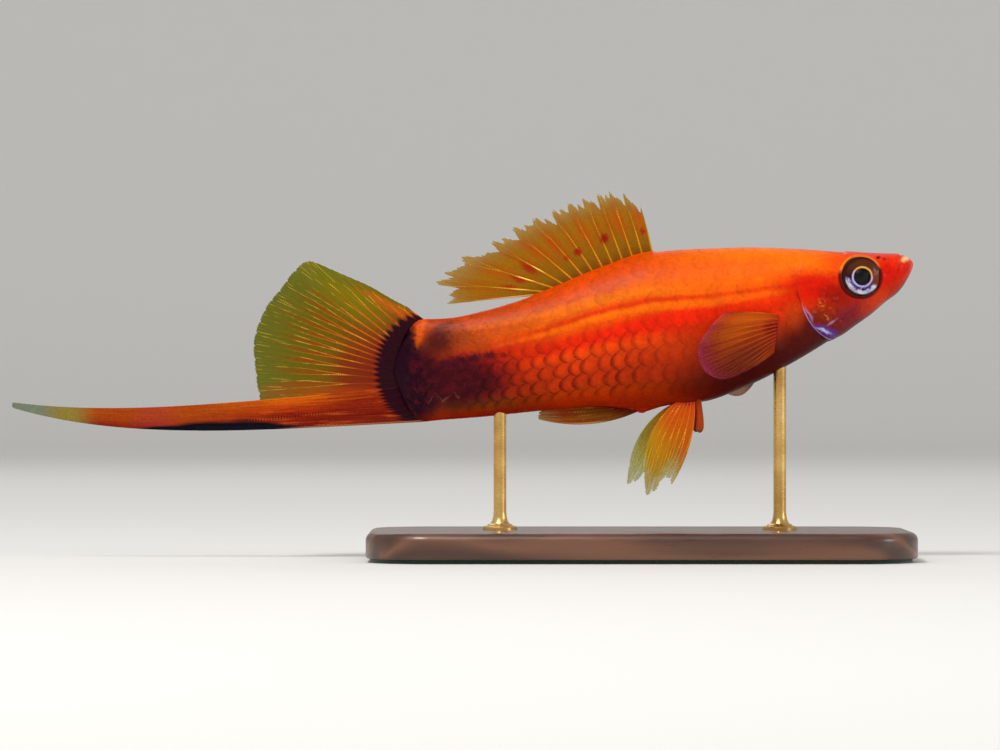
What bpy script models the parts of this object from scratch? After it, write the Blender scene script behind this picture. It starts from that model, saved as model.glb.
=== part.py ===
"""A male swordtail as a still, life-size model on a small display stand. Metres, +Z up.

The fish swims towards +X with its right side towards -Y, nose a little up. The middle of the stand's
underside is the origin. Sizes in this file are in millimetres, and turn into metres in each new mesh.
"""

import math

import bmesh
import bpy
import numpy as np
from mathutils import Matrix, Vector

MM = 0.001
GAP = 0.3  # space left between neighbouring pieces
FAR = 60.0  # beyond every edge of the fish, for blocks that cut it

# The body's upright sections: station x, height of the back, height of the belly, half width.
SECTIONS = (
    (-27.30, 24.60, 17.20, 0.45),
    (-24.75, 26.73, 14.96, 1.20),
    (-22.00, 26.68, 15.20, 1.70),
    (-17.60, 27.50, 15.53, 2.25),
    (-11.00, 29.54, 16.20, 3.00),
    (-4.40, 32.25, 16.70, 3.75),
    (1.10, 34.02, 16.83, 4.25),
    (6.60, 34.45, 17.15, 4.55),
    (12.10, 34.62, 19.03, 4.60),
    (17.60, 34.43, 21.90, 4.35),
    (22.00, 34.10, 24.64, 3.85),
    (25.30, 33.87, 26.84, 3.35),
    (27.50, 33.80, 28.66, 2.95),
    (28.93, 33.77, 29.50, 2.74),
    (30.14, 33.74, 30.80, 2.55),
)
TAIL_TURN, TAIL_END, TAIL_LEVEL, TAIL_UP = -23.65, -27.25, 20.9, 5.94  # the rounded rear end
NOSE_TURN, NOSE_END, NOSE_LEVEL = 27.50, 30.14, 32.5  # the rounded snout
BODY_RINGS, BODY_SIDES = 33, 32

BEND_START, BEND_STRENGTH, BEND_EASE = -5.0, 0.045, 10.0  # the tail's slight turn towards +Y
STALK_PLANE = -12.7  # where the tail stalk begins

# The gill covers' rear edge is half an ellipse seen from the side.
MARGIN_X, MARGIN_Z, MARGIN_ACROSS, MARGIN_UP = 22.2, 30.5, 5.06, 6.6
COVER_TOP, COVER_FOOT = 24.0, -60.0  # the stretch of that ellipse in degrees
COVER_FRONT = (
    (20.60, 24.95),
    (21.55, 25.50),
    (22.05, 26.35),
    (21.95, 27.50),
    (21.60, 28.80),
    (21.30, 30.20),
    (21.05, 31.50),
    (20.60, 32.50),
    (19.80, 33.05),
    (18.70, 33.25),
)
COVER_RAISED, COVER_DEEP, COVER_INNER = 0.15, 0.75, 0.9

# The gape seen from the side, from above the lips to the corner of the mouth and under the chin.
GAPE = ((29.10, 34.65), (28.80, 33.40), (28.27, 31.35), (26.84, 27.94), (26.84, 26.20))
LIP_RADIUS, LIP_REACH, LIP_SINK, LIP_SETBACK = 0.28, 1.85, 0.10, 0.21

EYE_X, EYE_Y, EYE_Z, EYE_WIDE, EYE_DEEP, EYE_TURN = 24.05, 2.55, 31.1, 2.2, 1.5, 9.0
RIM_RADIUS, RIM_THICK = 2.42, 0.2
NOSTRIL_RADIUS, NOSTRIL_DEEP = 0.24, 0.4
NOSTRILS = ((26.75, 33.15), (26.0, 33.3))

WEB, TIP_WEB = 0.25, 0.16  # half thickness of a fin's skin at the root and at the tip
RIDGE = 0.16  # how far a ray stands above that skin on each face
RAY_FOOT = 0.24  # how far a ray's foot reaches towards the next ray, as a share of their distance
SUNK = 0.7  # how far a fin runs into the body before it is trimmed

DORSAL_FRONT, DORSAL_REAR = 1.32, -11.85
SWORD_TIP_X, SWORD_TIP_Z, SWORD_TIP_HIGH = -69.3, 17.04, 0.5
SWORD_CURL_TOP, SWORD_CURL_LOW = 6.0, 8.5
SWELLING_X, SWELLING_Z, SWELLING_LONG, SWELLING_WIDE, SWELLING_DEEP = 0.2, 16.75, 1.7, 0.75, 0.95
PELVIC_X, PELVIC_Y, PELVIC_ROOT = 4.9, 1.05, 2.1
LOBE_AHEAD, LOBE_LONG, LOBE_RADIUS = 0.5, 3.0, 0.45
PECTORAL_X, PECTORAL_Z = 14.96, 26.84

BASE_LONG, BASE_WIDE, BASE_THICK, BASE_CORNER, BASE_BEVEL = 60.0, 30.0, 3.3, 7.0, 0.9
ROD_RADIUS, ROD_DEEP, ROD_SIDES, SOCKET_RUN = 0.7, 1.6, 20, 6.0
ROD_FRONT_X, ROD_REAR_X = 15.4, -15.4

# Base colour, roughness and metallic value of each kind of piece.
FINISHES = {
    "head": ((0.72, 0.05, 0.02), 0.32, 0.0),
    "lower_jaw": ((0.62, 0.04, 0.05), 0.32, 0.0),
    "gill_cover": ((0.66, 0.10, 0.03), 0.30, 0.0),
    "eye": ((0.03, 0.02, 0.04), 0.12, 0.0),
    "trunk": ((0.83, 0.19, 0.02), 0.36, 0.0),
    "tail_stalk": ((0.22, 0.03, 0.05), 0.36, 0.0),
    "dorsal_fin": ((0.62, 0.40, 0.04), 0.40, 0.0),
    "tail_fin": ((0.58, 0.36, 0.05), 0.40, 0.0),
    "tail_sword": ((0.70, 0.14, 0.02), 0.40, 0.0),
    "anal_fin": ((0.62, 0.34, 0.08), 0.40, 0.0),
    "pelvic_fin": ((0.80, 0.36, 0.03), 0.40, 0.0),
    "pectoral_fin": ((0.78, 0.24, 0.06), 0.40, 0.0),
    "stand_base": ((0.13, 0.06, 0.03), 0.45, 0.0),
    "stand_rod": ((0.70, 0.50, 0.22), 0.30, 1.0),
}


def smooth_curve(xs, ys):
    """A function that runs smoothly through the points and never overshoots them."""
    xs, ys = np.asarray(xs, float), np.asarray(ys, float)
    steps = np.diff(xs)
    rises = np.diff(ys) / steps
    slopes = np.zeros(len(xs))
    slopes[0], slopes[-1] = rises[0], rises[-1]
    for i in range(1, len(xs) - 1):
        before, after = rises[i - 1], rises[i]
        if before * after > 0:
            first, second = 2 * steps[i] + steps[i - 1], steps[i] + 2 * steps[i - 1]
            slopes[i] = (first + second) / (first / before + second / after)

    def value(x):
        x = float(np.clip(x, xs[0], xs[-1]))
        i = int(np.clip(np.searchsorted(xs, x, side="right") - 1, 0, len(xs) - 2))
        t = (x - xs[i]) / steps[i]
        return float(
            (1 + 2 * t) * (1 - t) ** 2 * ys[i]
            + t * (1 - t) ** 2 * steps[i] * slopes[i]
            + t * t * (3 - 2 * t) * ys[i + 1]
            + t * t * (t - 1) * steps[i] * slopes[i + 1]
        )

    return value


STATIONS, BACKS, BELLIES, HALVES = zip(*SECTIONS)
BACK = smooth_curve(STATIONS, BACKS)
BELLY = smooth_curve(STATIONS, BELLIES)
HALF = smooth_curve(STATIONS, HALVES)
WIDEST = smooth_curve((-27, -10, 10, 22, 30), (0.50, 0.50, 0.54, 0.56, 0.55))
TOP_POWER = smooth_curve((-27, -5, 12, 22, 30), (2.0, 2.0, 2.2, 2.7, 2.5))
LOW_POWER = smooth_curve((-27, 0, 12, 22, 30), (2.0, 2.0, 1.9, 1.85, 2.1))


def body_at(x, grow=0.0):
    """Height of the back, height of the belly and half width at a station of the body grown outwards."""
    back, belly, half = BACK(x) + grow, BELLY(x) - grow, HALF(x) + grow
    if x > NOSE_TURN:
        share = (x - NOSE_TURN) / (NOSE_END + grow - NOSE_TURN)
        round_off = math.sqrt(max(1 - share**2, 0.0))
        half *= round_off
        back = NOSE_LEVEL + (back - NOSE_LEVEL) * round_off
        belly = NOSE_LEVEL + (belly - NOSE_LEVEL) * round_off
    if x < TAIL_TURN:
        share = (TAIL_TURN - x) / (TAIL_TURN - TAIL_END + grow)
        round_off = math.sqrt(max(1 - share**2, 0.0))
        back = TAIL_LEVEL + (back - TAIL_LEVEL) * round_off
        belly = TAIL_LEVEL + (belly - TAIL_LEVEL) * round_off
    return back, belly, half


def body_point(x, turn, grow=0.0):
    """A point of the body's skin; turn is 0 at the back and grows towards +Y."""
    back, belly, half = body_at(x, grow)
    middle = belly + WIDEST(x) * (back - belly)
    across, up = math.sin(turn), math.cos(turn)
    power = 2 / (TOP_POWER(x) if up > 0 else LOW_POWER(x))
    reach = back - middle if up > 0 else middle - belly
    y = half * math.copysign(abs(across) ** power, across)
    return x, y, middle + reach * math.copysign(abs(up) ** power, up)


def body_side(x, z):
    """Half width of the body at a height."""
    back, belly, half = body_at(x)
    middle = belly + WIDEST(x) * (back - belly)
    power = TOP_POWER(x) if z > middle else LOW_POWER(x)
    reach = back - middle if z > middle else middle - belly
    share = min(abs(z - middle) / reach, 1.0)
    return half * (1 - share**power) ** (1 / power)


def bend(x):
    """How far the fish's length has swung towards +Y at a station."""
    behind = max(BEND_START - x, 0.0)
    return BEND_STRENGTH * behind**2 / (behind + BEND_EASE)


def new_object(name, mesh):
    obj = bpy.data.objects.new(name, mesh)
    WORK.objects.link(obj)
    return obj


def object_from(name, work):
    """An object from an edit mesh in millimetres, its faces turned outwards."""
    bmesh.ops.scale(work, vec=(MM, MM, MM), verts=work.verts)
    bmesh.ops.recalc_face_normals(work, faces=work.faces)
    mesh = bpy.data.meshes.new(name)
    work.to_mesh(mesh)
    work.free()
    return new_object(name, mesh)


def settle(obj):
    """Makes an object's modifiers, or a curve's shape, its final mesh, and returns the mesh object."""
    graph = bpy.context.evaluated_depsgraph_get()
    mesh = bpy.data.meshes.new_from_object(obj.evaluated_get(graph))
    if obj.type == "MESH":
        old = obj.data
        obj.modifiers.clear()
        obj.data = mesh
        bpy.data.meshes.remove(old)
        return obj
    work = bmesh.new()
    work.from_mesh(mesh)
    bmesh.ops.transform(work, matrix=obj.matrix_world, verts=work.verts)
    bmesh.ops.remove_doubles(work, verts=work.verts, dist=0.000001)
    bmesh.ops.recalc_face_normals(work, faces=work.faces)
    work.to_mesh(mesh)
    work.free()
    settled = new_object(obj.name, mesh)
    bpy.data.curves.remove(obj.data)
    return settled


def curve_object(name, points, radii=None, cyclic=False, flat=False):
    """A straight-sided curve through points in millimetres."""
    curve = bpy.data.curves.new(name, "CURVE")
    curve.dimensions = "2D" if flat else "3D"
    spline = curve.splines.new("POLY")
    spline.points.add(len(points) - 1)
    for i, point in enumerate(points):
        place = [c * MM for c in point] + [0.0] * (3 - len(point))
        spline.points[i].co = (*place, 1.0)
        spline.points[i].radius = radii[i] if radii else 1.0
    spline.use_cyclic_u = cyclic
    obj = bpy.data.objects.new(name, curve)
    WORK.objects.link(obj)
    return obj


def side_block(name, outline, near, far):
    """A block whose outline is given in x and z, between two distances along Y."""
    obj = curve_object(name, outline, cyclic=True, flat=True)
    obj.data.fill_mode = "BOTH"
    obj.data.extrude = abs(far - near) / 2 * MM
    obj.location.y = (near + far) / 2 * MM
    obj.rotation_euler.x = math.pi / 2
    bpy.context.view_layer.update()
    return settle(obj)


def round_bar(name, path, radius, shares=None, cyclic=False):
    """A round bar along a path, thinner where a share is under 1."""
    obj = curve_object(name, path, shares, cyclic)
    obj.data.bevel_depth = radius * MM
    obj.data.bevel_resolution = 1
    obj.data.use_fill_caps = not cyclic
    return settle(obj)


def ball(name, centre, radii, turn=0.0, columns=20, rows=12):
    """An ellipsoid with its poles towards both sides of the fish, turned about the upright axis."""
    work = bmesh.new()
    place = (
        Matrix.Translation(centre)
        @ Matrix.Rotation(math.radians(turn), 4, "Z")
        @ Matrix.Diagonal((*radii, 1.0))
        @ Matrix.Rotation(math.pi / 2, 4, "X")
    )
    bmesh.ops.create_uvsphere(work, u_segments=columns, v_segments=rows, radius=1.0, matrix=place)
    return object_from(name, work)


def upright_bar(name, x, y, bottom, top, radius):
    work = bmesh.new()
    bmesh.ops.create_cone(
        work,
        cap_ends=True,
        segments=ROD_SIDES,
        radius1=radius,
        radius2=radius,
        depth=top - bottom,
        matrix=Matrix.Translation((x, y, (bottom + top) / 2)),
    )
    return object_from(name, work)


def body_mesh(name, grow=0.0):
    """The whole body lofted over its sections as one closed surface, grown or shrunk by a distance."""
    tail_run, nose_run = TAIL_END - grow - TAIL_TURN, NOSE_END + grow - NOSE_TURN
    stations = [TAIL_TURN + tail_run * math.sin(a) for a in np.linspace(1.45, 0.25, 6)]
    stations += list(np.linspace(TAIL_TURN, NOSE_TURN, BODY_RINGS))
    stations += [NOSE_TURN + nose_run * math.sin(a) for a in np.linspace(0.2, 1.47, 8)]
    turns = np.arange(BODY_SIDES) * 2 * math.pi / BODY_SIDES
    work = bmesh.new()
    rings = [[work.verts.new(body_point(x, a, grow)) for a in turns] for x in stations]
    for ring, after in zip(rings, rings[1:]):
        for k in range(BODY_SIDES):
            j = (k + 1) % BODY_SIDES
            work.faces.new((ring[k], ring[j], after[j], after[k]))
    for ring in (rings[0], rings[-1]):
        pole = work.verts.new(sum((v.co for v in ring), Vector()) / BODY_SIDES)
        for k in range(BODY_SIDES):
            work.faces.new((pole, ring[k], ring[(k + 1) % BODY_SIDES]))
    return object_from(name, work)


def remove(obj):
    mesh = obj.data
    bpy.data.objects.remove(obj)
    bpy.data.meshes.remove(mesh)


def cut(obj, other, operation="DIFFERENCE", solver="EXACT"):
    """Cuts one mesh by another, or keeps only what they share."""
    modifier = obj.modifiers.new("cut", "BOOLEAN")
    modifier.operation = operation
    modifier.object = other
    modifier.solver = solver
    settle(obj)
    remove(other)


def join(obj, pieces, solver="EXACT"):
    """Fuses the pieces to the object in one union."""
    group = bpy.data.collections.new("pieces")
    bpy.context.scene.collection.children.link(group)
    for piece in pieces:
        group.objects.link(piece)
    modifier = obj.modifiers.new("join", "BOOLEAN")
    modifier.operation = "UNION"
    modifier.operand_type = "COLLECTION"
    modifier.collection = group
    modifier.solver = solver
    settle(obj)
    for piece in pieces:
        remove(piece)
    bpy.data.collections.remove(group)


def keep_largest(work):
    """Leaves only the closed surface with the most faces' volume."""
    seen, pieces = set(), []
    for first in work.verts:
        if first in seen:
            continue
        piece, waiting = [], [first]
        seen.add(first)
        while waiting:
            vert = waiting.pop()
            piece.append(vert)
            for edge in vert.link_edges:
                other = edge.other_vert(vert)
                if other not in seen:
                    seen.add(other)
                    waiting.append(other)
        pieces.append(piece)

    def volume(piece):
        faces = {face for vert in piece for face in vert.link_faces}
        corners = [[v.co for v in face.verts] for face in faces]
        return abs(sum(a.dot(b.cross(c)) for a, b, c in corners))

    pieces.sort(key=volume)
    bmesh.ops.delete(work, geom=[v for piece in pieces[:-1] for v in piece], context="VERTS")


def finish(obj, name, kind, origin=(0.0, 0.0, 0.0), bent=True):
    """Makes the object a named node about its own origin, of plain triangles, the tail swung over."""
    work = bmesh.new()
    work.from_mesh(obj.data)
    bmesh.ops.triangulate(work, faces=work.faces)
    keep_largest(work)
    if work.calc_volume(signed=True) < 0:
        bmesh.ops.reverse_faces(work, faces=work.faces)
    if bent:
        for vert in work.verts:
            vert.co.y += bend(vert.co.x / MM) * MM
    place = Vector(origin) * MM
    bmesh.ops.translate(work, vec=-place, verts=work.verts)
    work.to_mesh(obj.data)
    work.free()
    obj.data.shade_smooth()
    obj.data.set_sharp_from_angle(angle=math.radians(42))
    obj.name = obj.data.name = name
    obj.location = place
    obj.parent = HOLDER
    obj.data.materials.clear()
    obj.data.materials.append(painted(name, kind))
    WORK.objects.unlink(obj)
    PARTS.objects.link(obj)


def painted(name, kind):
    colour, roughness, metallic = FINISHES[kind]
    paint = bpy.data.materials.new(f"{name}_finish")
    paint.use_nodes = True
    shader = paint.node_tree.nodes["Principled BSDF"]
    shader.inputs["Base Color"].default_value = (*colour, 1.0)
    shader.inputs["Roughness"].default_value = roughness
    shader.inputs["Metallic"].default_value = metallic
    paint.diffuse_color = (*colour, 1.0)
    return paint


def margin_outline(grow=0.0, start=90.0, end=-90.0, count=25):
    """The rear edge of the gill covers from top to bottom, as x and z."""
    outline = []
    for a in np.radians(np.linspace(start, end, count)):
        x = MARGIN_X - (MARGIN_ACROSS + grow) * math.cos(a)
        outline.append((x, MARGIN_Z + (MARGIN_UP + grow) * math.sin(a)))
    return outline


def head_outline(grow=0.0):
    """Everything in front of the gill covers' rear edge."""
    return [(MARGIN_X, FAR), *margin_outline(grow), (MARGIN_X, 0.0), (FAR, 0.0), (FAR, FAR)]


def cover_outline(grow=0.0):
    """One gill cover seen from the side."""
    rear = margin_outline(grow, COVER_TOP, COVER_FOOT, 17)
    front = [rear[-1], *COVER_FRONT, rear[0]]
    grown = []
    for before, point, after in zip(front, front[1:], front[2:]):
        along = Vector(after) - Vector(before)
        outwards = Vector((along.y, -along.x)).normalized()
        grown.append(tuple(Vector(point) + outwards * grow))
    return rear + grown


def jaw_outline(shift=0.0):
    """Everything in front of and below the gape."""
    return [(x - shift, z) for x, z in GAPE] + [(FAR, GAPE[-1][1]), (FAR, GAPE[0][1])]


def gape_at(z):
    xs, zs = zip(*GAPE[::-1])
    return float(np.interp(z, zs, xs))


def lip(setback):
    """A round lip from one corner of the mouth over the front to the other."""
    path, shares = [], []
    for turn in np.linspace(-LIP_REACH, LIP_REACH, 17):
        x = gape_at(NOSE_LEVEL) - setback
        for _ in range(6):
            x = gape_at(body_point(x, turn)[2]) - setback
        path.append(body_point(x, turn, -LIP_SINK))
        shares.append(1.0 - 0.55 * (abs(turn) / LIP_REACH) ** 4)
    return round_bar("lip", path, LIP_RADIUS, shares)


def eye_ball(side, grow=0.0):
    radii = (EYE_WIDE + grow, EYE_DEEP + grow, EYE_WIDE + grow)
    return ball("eye", (EYE_X, side * EYE_Y, EYE_Z), radii, -side * EYE_TURN, 24, 12)


def eye_rim(side):
    """A low fleshy ring on the skin round the eye."""
    path = []
    for a in np.arange(24) * 2 * math.pi / 24:
        x, z = EYE_X + RIM_RADIUS * math.cos(a), EYE_Z + RIM_RADIUS * math.sin(a)
        path.append((x, side * body_side(x, z), z))
    return round_bar("rim", path, RIM_THICK, cyclic=True)


def nostril(x, z, side):
    """A short round pit, square to the skin."""
    outwards = Vector((0.25, side, 0.75)).normalized()
    middle = Vector((x, side * body_side(x, z), z))
    path = [middle - outwards * NOSTRIL_DEEP, middle, middle + outwards]
    return round_bar("pit", path, NOSTRIL_RADIUS, [0.8, 1.0, 1.3])


def cover(side):
    """A thin flap over the gills, standing a little proud of the head."""
    near, far = sorted((side * COVER_INNER, side * FAR))
    flap = body_mesh("flap", COVER_RAISED)
    cut(flap, side_block("side", cover_outline(), near, far), "INTERSECT")
    cut(flap, body_mesh("inside", -COVER_DEEP))
    return flap


def cover_recess(side):
    """What leaves the head to make room for a gill cover."""
    near, far = sorted((side * (COVER_INNER - GAP), side * FAR))
    recess = side_block("recess", cover_outline(GAP), near, far)
    cut(recess, body_mesh("inside", -COVER_DEEP - GAP))
    return recess


def build_head():
    """Head, lower jaw, gill covers and eyes."""
    head = body_mesh("head")
    cut(head, side_block("front", head_outline(), -FAR, FAR), "INTERSECT")
    jaw = new_object("jaw", head.data.copy())
    cut(jaw, side_block("below", jaw_outline(), -FAR, FAR), "INTERSECT")
    cut(head, side_block("gape", jaw_outline(GAP), -FAR, FAR))
    join(head, [lip(GAP + LIP_SETBACK), eye_rim(-1), eye_rim(1)])
    join(jaw, [lip(-LIP_SETBACK)])
    for side, word in ((-1, "right"), (1, "left")):
        cut(head, eye_ball(side, GAP))
        for x, z in NOSTRILS:
            cut(head, nostril(x, z, side))
        cut(head, cover_recess(side))
        finish(cover(side), f"gill_cover_{word}", "gill_cover")
        finish(eye_ball(side), f"eye_{word}", "eye", (EYE_X, side * EYE_Y, EYE_Z))
    finish(head, "head", "head")
    finish(jaw, "lower_jaw", "lower_jaw")


def vent_swelling(grow=0.0):
    """The fleshy swelling that the anal fin grows from."""
    radii = (SWELLING_LONG + grow, SWELLING_WIDE + grow, SWELLING_DEEP + grow)
    return ball("swelling", (SWELLING_X, 0.0, SWELLING_Z), radii, columns=16, rows=10)


def rod_socket(x):
    """The hole in the belly that a rod ends in."""
    top = BELLY(x) + ROD_DEEP + GAP
    return upright_bar("socket", x, 0.0, top - SOCKET_RUN, top, ROD_RADIUS + GAP)


def build_trunk():
    """Trunk and tail stalk, parted by one flat cut, with a socket for each rod."""
    trunk = body_mesh("trunk")
    cut(trunk, side_block("head", head_outline(GAP), -FAR, FAR))
    stalk = new_object("stalk", trunk.data.copy())
    front, rear = STALK_PLANE + GAP / 2, STALK_PLANE - GAP / 2
    ahead = [(front, 0.0), (front, FAR), (FAR, FAR), (FAR, 0.0)]
    behind = [(rear, 0.0), (rear, FAR), (-FAR, FAR), (-FAR, 0.0)]
    cut(trunk, side_block("ahead", ahead, -FAR, FAR), "INTERSECT", "MANIFOLD")
    cut(stalk, side_block("behind", behind, -FAR, FAR), "INTERSECT", "MANIFOLD")
    join(trunk, [vent_swelling()], "MANIFOLD")
    cut(trunk, rod_socket(ROD_FRONT_X), solver="MANIFOLD")
    cut(stalk, rod_socket(ROD_REAR_X), solver="MANIFOLD")
    finish(trunk, "trunk", "trunk")
    finish(stalk, "tail_stalk", "tail_stalk", (STALK_PLANE, 0.0, TAIL_LEVEL))


def ray_direction(lean, flare, side):
    """The way a ray points: lean is its rise above straight back, flare its swing out to the side."""
    lean, flare = math.radians(lean), math.radians(flare)
    level = -math.cos(lean) * math.cos(flare)
    return Vector((level, side * math.sin(flare), math.sin(lean) * math.cos(flare)))


def fin_columns(rays, notch):
    """Each column's place between the first and last ray, whether it is a ray, and its share of the length."""
    columns = []
    step = 1 / (rays - 1)
    for r in range(rays):
        if r:
            columns.append(((r - RAY_FOOT) * step, 0.0, 1 - notch))
        columns.append((r * step, 1.0, 1.0))
        if r < rays - 1:
            columns.append(((r + RAY_FOOT) * step, 0.0, 1 - notch))
    return columns


def fin(keys, rays, rows, side=-1, notch=0.035, sink=None, late=1):
    """A thin tapering fin, its rays raised as ridges on both faces.

    Each key holds a place from the first ray to the last, then the ray's root, lean, flare, curl and
    length. A ray curls evenly, or the later the higher late is. The fin runs on past its root, along
    its rays or the way sink points.
    """
    curves = [smooth_curve([k[0] for k in keys], column) for column in list(zip(*keys))[1:]]
    columns = fin_columns(rays, notch)
    work = bmesh.new()
    thickness = work.verts.layers.deform.verify()
    grid = []
    for at, ray, share in columns:
        x, y, z, lean, flare, curl, length = (curve(at) for curve in curves)
        length *= share
        line = []
        for j in range(rows + 1):
            s = (j - 1) / (rows - 1)
            if s >= 0:
                turned = lean + curl * s**late / 2
                reach = ray_direction(turned, flare, side) * length * s
            else:
                reach = sink * SUNK if sink else -ray_direction(lean, flare, side) * SUNK
            vert = work.verts.new(Vector((x, y, z)) + reach)
            taper = max(s, 0.0) ** 1.5
            half = WEB + (TIP_WEB - WEB) * taper + RIDGE * ray * (1 - 0.6 * taper)
            vert[thickness][0] = half / (WEB + RIDGE)
            line.append(vert)
        grid.append(line)
    for line, after in zip(grid, grid[1:]):
        for j in range(rows):
            work.faces.new((line[j], after[j], after[j + 1]))
            work.faces.new((line[j], after[j + 1], line[j + 1]))
    obj = object_from("fin", work)
    obj.vertex_groups.new(name="thickness")
    wall = obj.modifiers.new("wall", "SOLIDIFY")
    wall.thickness = 2 * (WEB + RIDGE) * MM
    wall.offset = 0.0
    wall.vertex_group = "thickness"
    return settle(obj)


def trimmed(piece, name, kind):
    """Ends a fin just short of the body."""
    cut(piece, body_mesh("near", GAP), solver="MANIFOLD")
    finish(piece, name, kind)


def dorsal_fin():
    keys = []
    for at, lean, length in (
        (0.00, 78, 5.2),
        (0.08, 74.5, 7.2),
        (0.25, 70.5, 7.9),
        (0.50, 57, 8.2),
        (0.75, 31, 9.2),
        (0.92, 5, 11.3),
        (1.00, -4, 7.5),
    ):
        x = DORSAL_FRONT + (DORSAL_REAR - DORSAL_FRONT) * at
        keys.append((at, x, 0.0, BACK(x), lean, 0.0, -4.0 + 2.0 * at, length))
    trimmed(fin(keys, 13, 7), "dorsal_fin", "dorsal_fin")


def tail_root(turn):
    """A point of the tail end's outline seen from the side; turn is 0 straight back and 90 at the top."""
    a = math.radians(turn)
    return TAIL_TURN + (TAIL_END - TAIL_TURN) * math.cos(a), TAIL_LEVEL + TAIL_UP * math.sin(a)


def tail_fin():
    keys = []
    for at, turn, lean, length in (
        (0.00, 88.0, 40.0, 1.9),
        (0.06, 76.0, 41.0, 3.4),
        (0.12, 62.0, 42.0, 6.0),
        (0.20, 46.0, 42.0, 9.9),
        (0.28, 34.0, 41.0, 13.3),
        (0.36, 27.0, 35.0, 14.0),
        (0.44, 21.0, 30.0, 14.3),
        (0.60, 10.0, 21.0, 15.3),
        (0.76, -1.0, 12.2, 15.7),
        (0.88, -10.0, 4.6, 15.3),
        (1.00, -20.0, -3.7, 14.8),
    ):
        x, z = tail_root(turn)
        keys.append((at, x, 0.0, z, lean, 0.0, 0.0, length))
    trimmed(fin(keys, 17, 8, notch=0.02), "tail_fin", "tail_fin")


def tail_sword():
    """The long lowest rays, which run out side by side to the tip of the sword and bend up there."""
    keys = []
    for at in (0.0, 0.25, 0.5, 0.75, 1.0):
        x, z = tail_root(-25.0 - 62.0 * at)
        tip_z = SWORD_TIP_Z + SWORD_TIP_HIGH * (0.5 - at)
        lean = math.degrees(math.atan2(tip_z - z, x - SWORD_TIP_X))
        curl = SWORD_CURL_TOP + (SWORD_CURL_LOW - SWORD_CURL_TOP) * at
        length = math.hypot(x - SWORD_TIP_X, tip_z - z)
        keys.append((at, x, 0.0, z, lean - curl / 2, 0.0, curl, length))
    trimmed(fin(keys, 5, 20, notch=0.0, late=3), "tail_sword", "tail_sword")


def anal_fin():
    """A male's narrow anal fin, folded back along the belly."""
    keys = (
        (0.0, -0.4, 0.0, 16.30, -24.0, 0.0, 40.0, 10.8),
        (0.5, -1.9, 0.0, 16.40, -14.0, 0.0, 19.4, 9.3),
        (1.0, -3.4, 0.0, 16.45, -4.5, 0.0, 0.0, 7.6),
    )
    piece = fin(keys, 4, 9, notch=0.02)
    cut(piece, vent_swelling(GAP), solver="MANIFOLD")
    trimmed(piece, "anal_fin", "anal_fin")


def pelvic_fin(side, word, turn_back, flare):
    """A notched fin under the belly, with a fleshy lobe before it and a low pad at its root."""
    keys = []
    for at, lean, curl, length in (
        (0.00, -92, 36, 8.9),
        (0.17, -82, 20, 8.2),
        (0.33, -73, 4, 8.9),
        (0.50, -66, -10, 10.3),
        (0.67, -57, -24, 11.0),
        (0.83, -50, -35, 9.9),
        (1.00, -38, -51, 7.9),
    ):
        x = PELVIC_X + PELVIC_ROOT * (0.5 - at)
        keys.append((at, x, side * PELVIC_Y, BELLY(x) + 0.25, lean + turn_back, flare, curl, length))
    piece = fin(keys, 7, 7, side, notch=0.07)
    top = Vector((PELVIC_X + PELVIC_ROOT / 2 + LOBE_AHEAD, side * PELVIC_Y, BELLY(PELVIC_X)))
    way = ray_direction(-88 + turn_back / 2, flare, side)
    path = [top + way * LOBE_LONG * s for s in np.linspace(-0.2, 1.0, 8)]
    shares = [1.0, 1.0, 1.0, 1.0, 0.97, 0.92, 0.82, 0.5]
    pad = ball("pad", (PELVIC_X + 0.4, side * PELVIC_Y, BELLY(PELVIC_X)), (1.8, 0.42, 0.5), 0.0, 14, 8)
    join(piece, [round_bar("lobe", path, LOBE_RADIUS, shares), pad], "MANIFOLD")
    trimmed(piece, f"pelvic_fin_{word}", "pelvic_fin")


def pectoral_fin(side, word, turn_down, flare):
    """A rounded paddle that stands off the flank behind the gill cover."""
    rays = (
        (12, -20, 7.0),
        (-4, -8, 8.2),
        (-11, -4, 9.0),
        (-18, -2, 9.4),
        (-25, 0, 9.2),
        (-31, 2, 8.5),
        (-37, 4, 7.2),
        (-41, 6, 4.9),
        (-42, 6, 2.4),
    )
    keys = []
    for i, (lean, curl, length) in enumerate(rays):
        at = i / (len(rays) - 1)
        x, z = PECTORAL_X - 0.44 * at, PECTORAL_Z - 3.96 * at
        y = side * (body_side(x, z) + GAP + WEB + RIDGE)
        keys.append((at, x, y, z, lean - turn_down, flare, curl, length))
    inwards = Vector((0.35, -side * 1.6, 0.15))
    piece = fin(keys, 12, 6, side, sink=inwards)
    trimmed(piece, f"pectoral_fin_{word}", "pectoral_fin")


def stand_base():
    """A board with round corners and a round upper edge."""
    work = bmesh.new()
    size = Matrix.Diagonal((BASE_LONG, BASE_WIDE, BASE_THICK, 1.0))
    bmesh.ops.create_cube(work, size=1.0, matrix=Matrix.Translation((0, 0, BASE_THICK / 2)) @ size)
    upright = [e for e in work.edges if abs(e.verts[0].co.z - e.verts[1].co.z) > GAP]
    bmesh.ops.bevel(
        work, geom=upright, offset=BASE_CORNER, segments=10, profile=0.5, affect="EDGES"
    )
    upper = [e for e in work.edges if min(v.co.z for v in e.verts) > BASE_THICK - GAP]
    bmesh.ops.bevel(work, geom=upper, offset=BASE_BEVEL, segments=4, profile=0.5, affect="EDGES")
    finish(object_from("base", work), "stand_base", "stand_base", bent=False)


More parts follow.
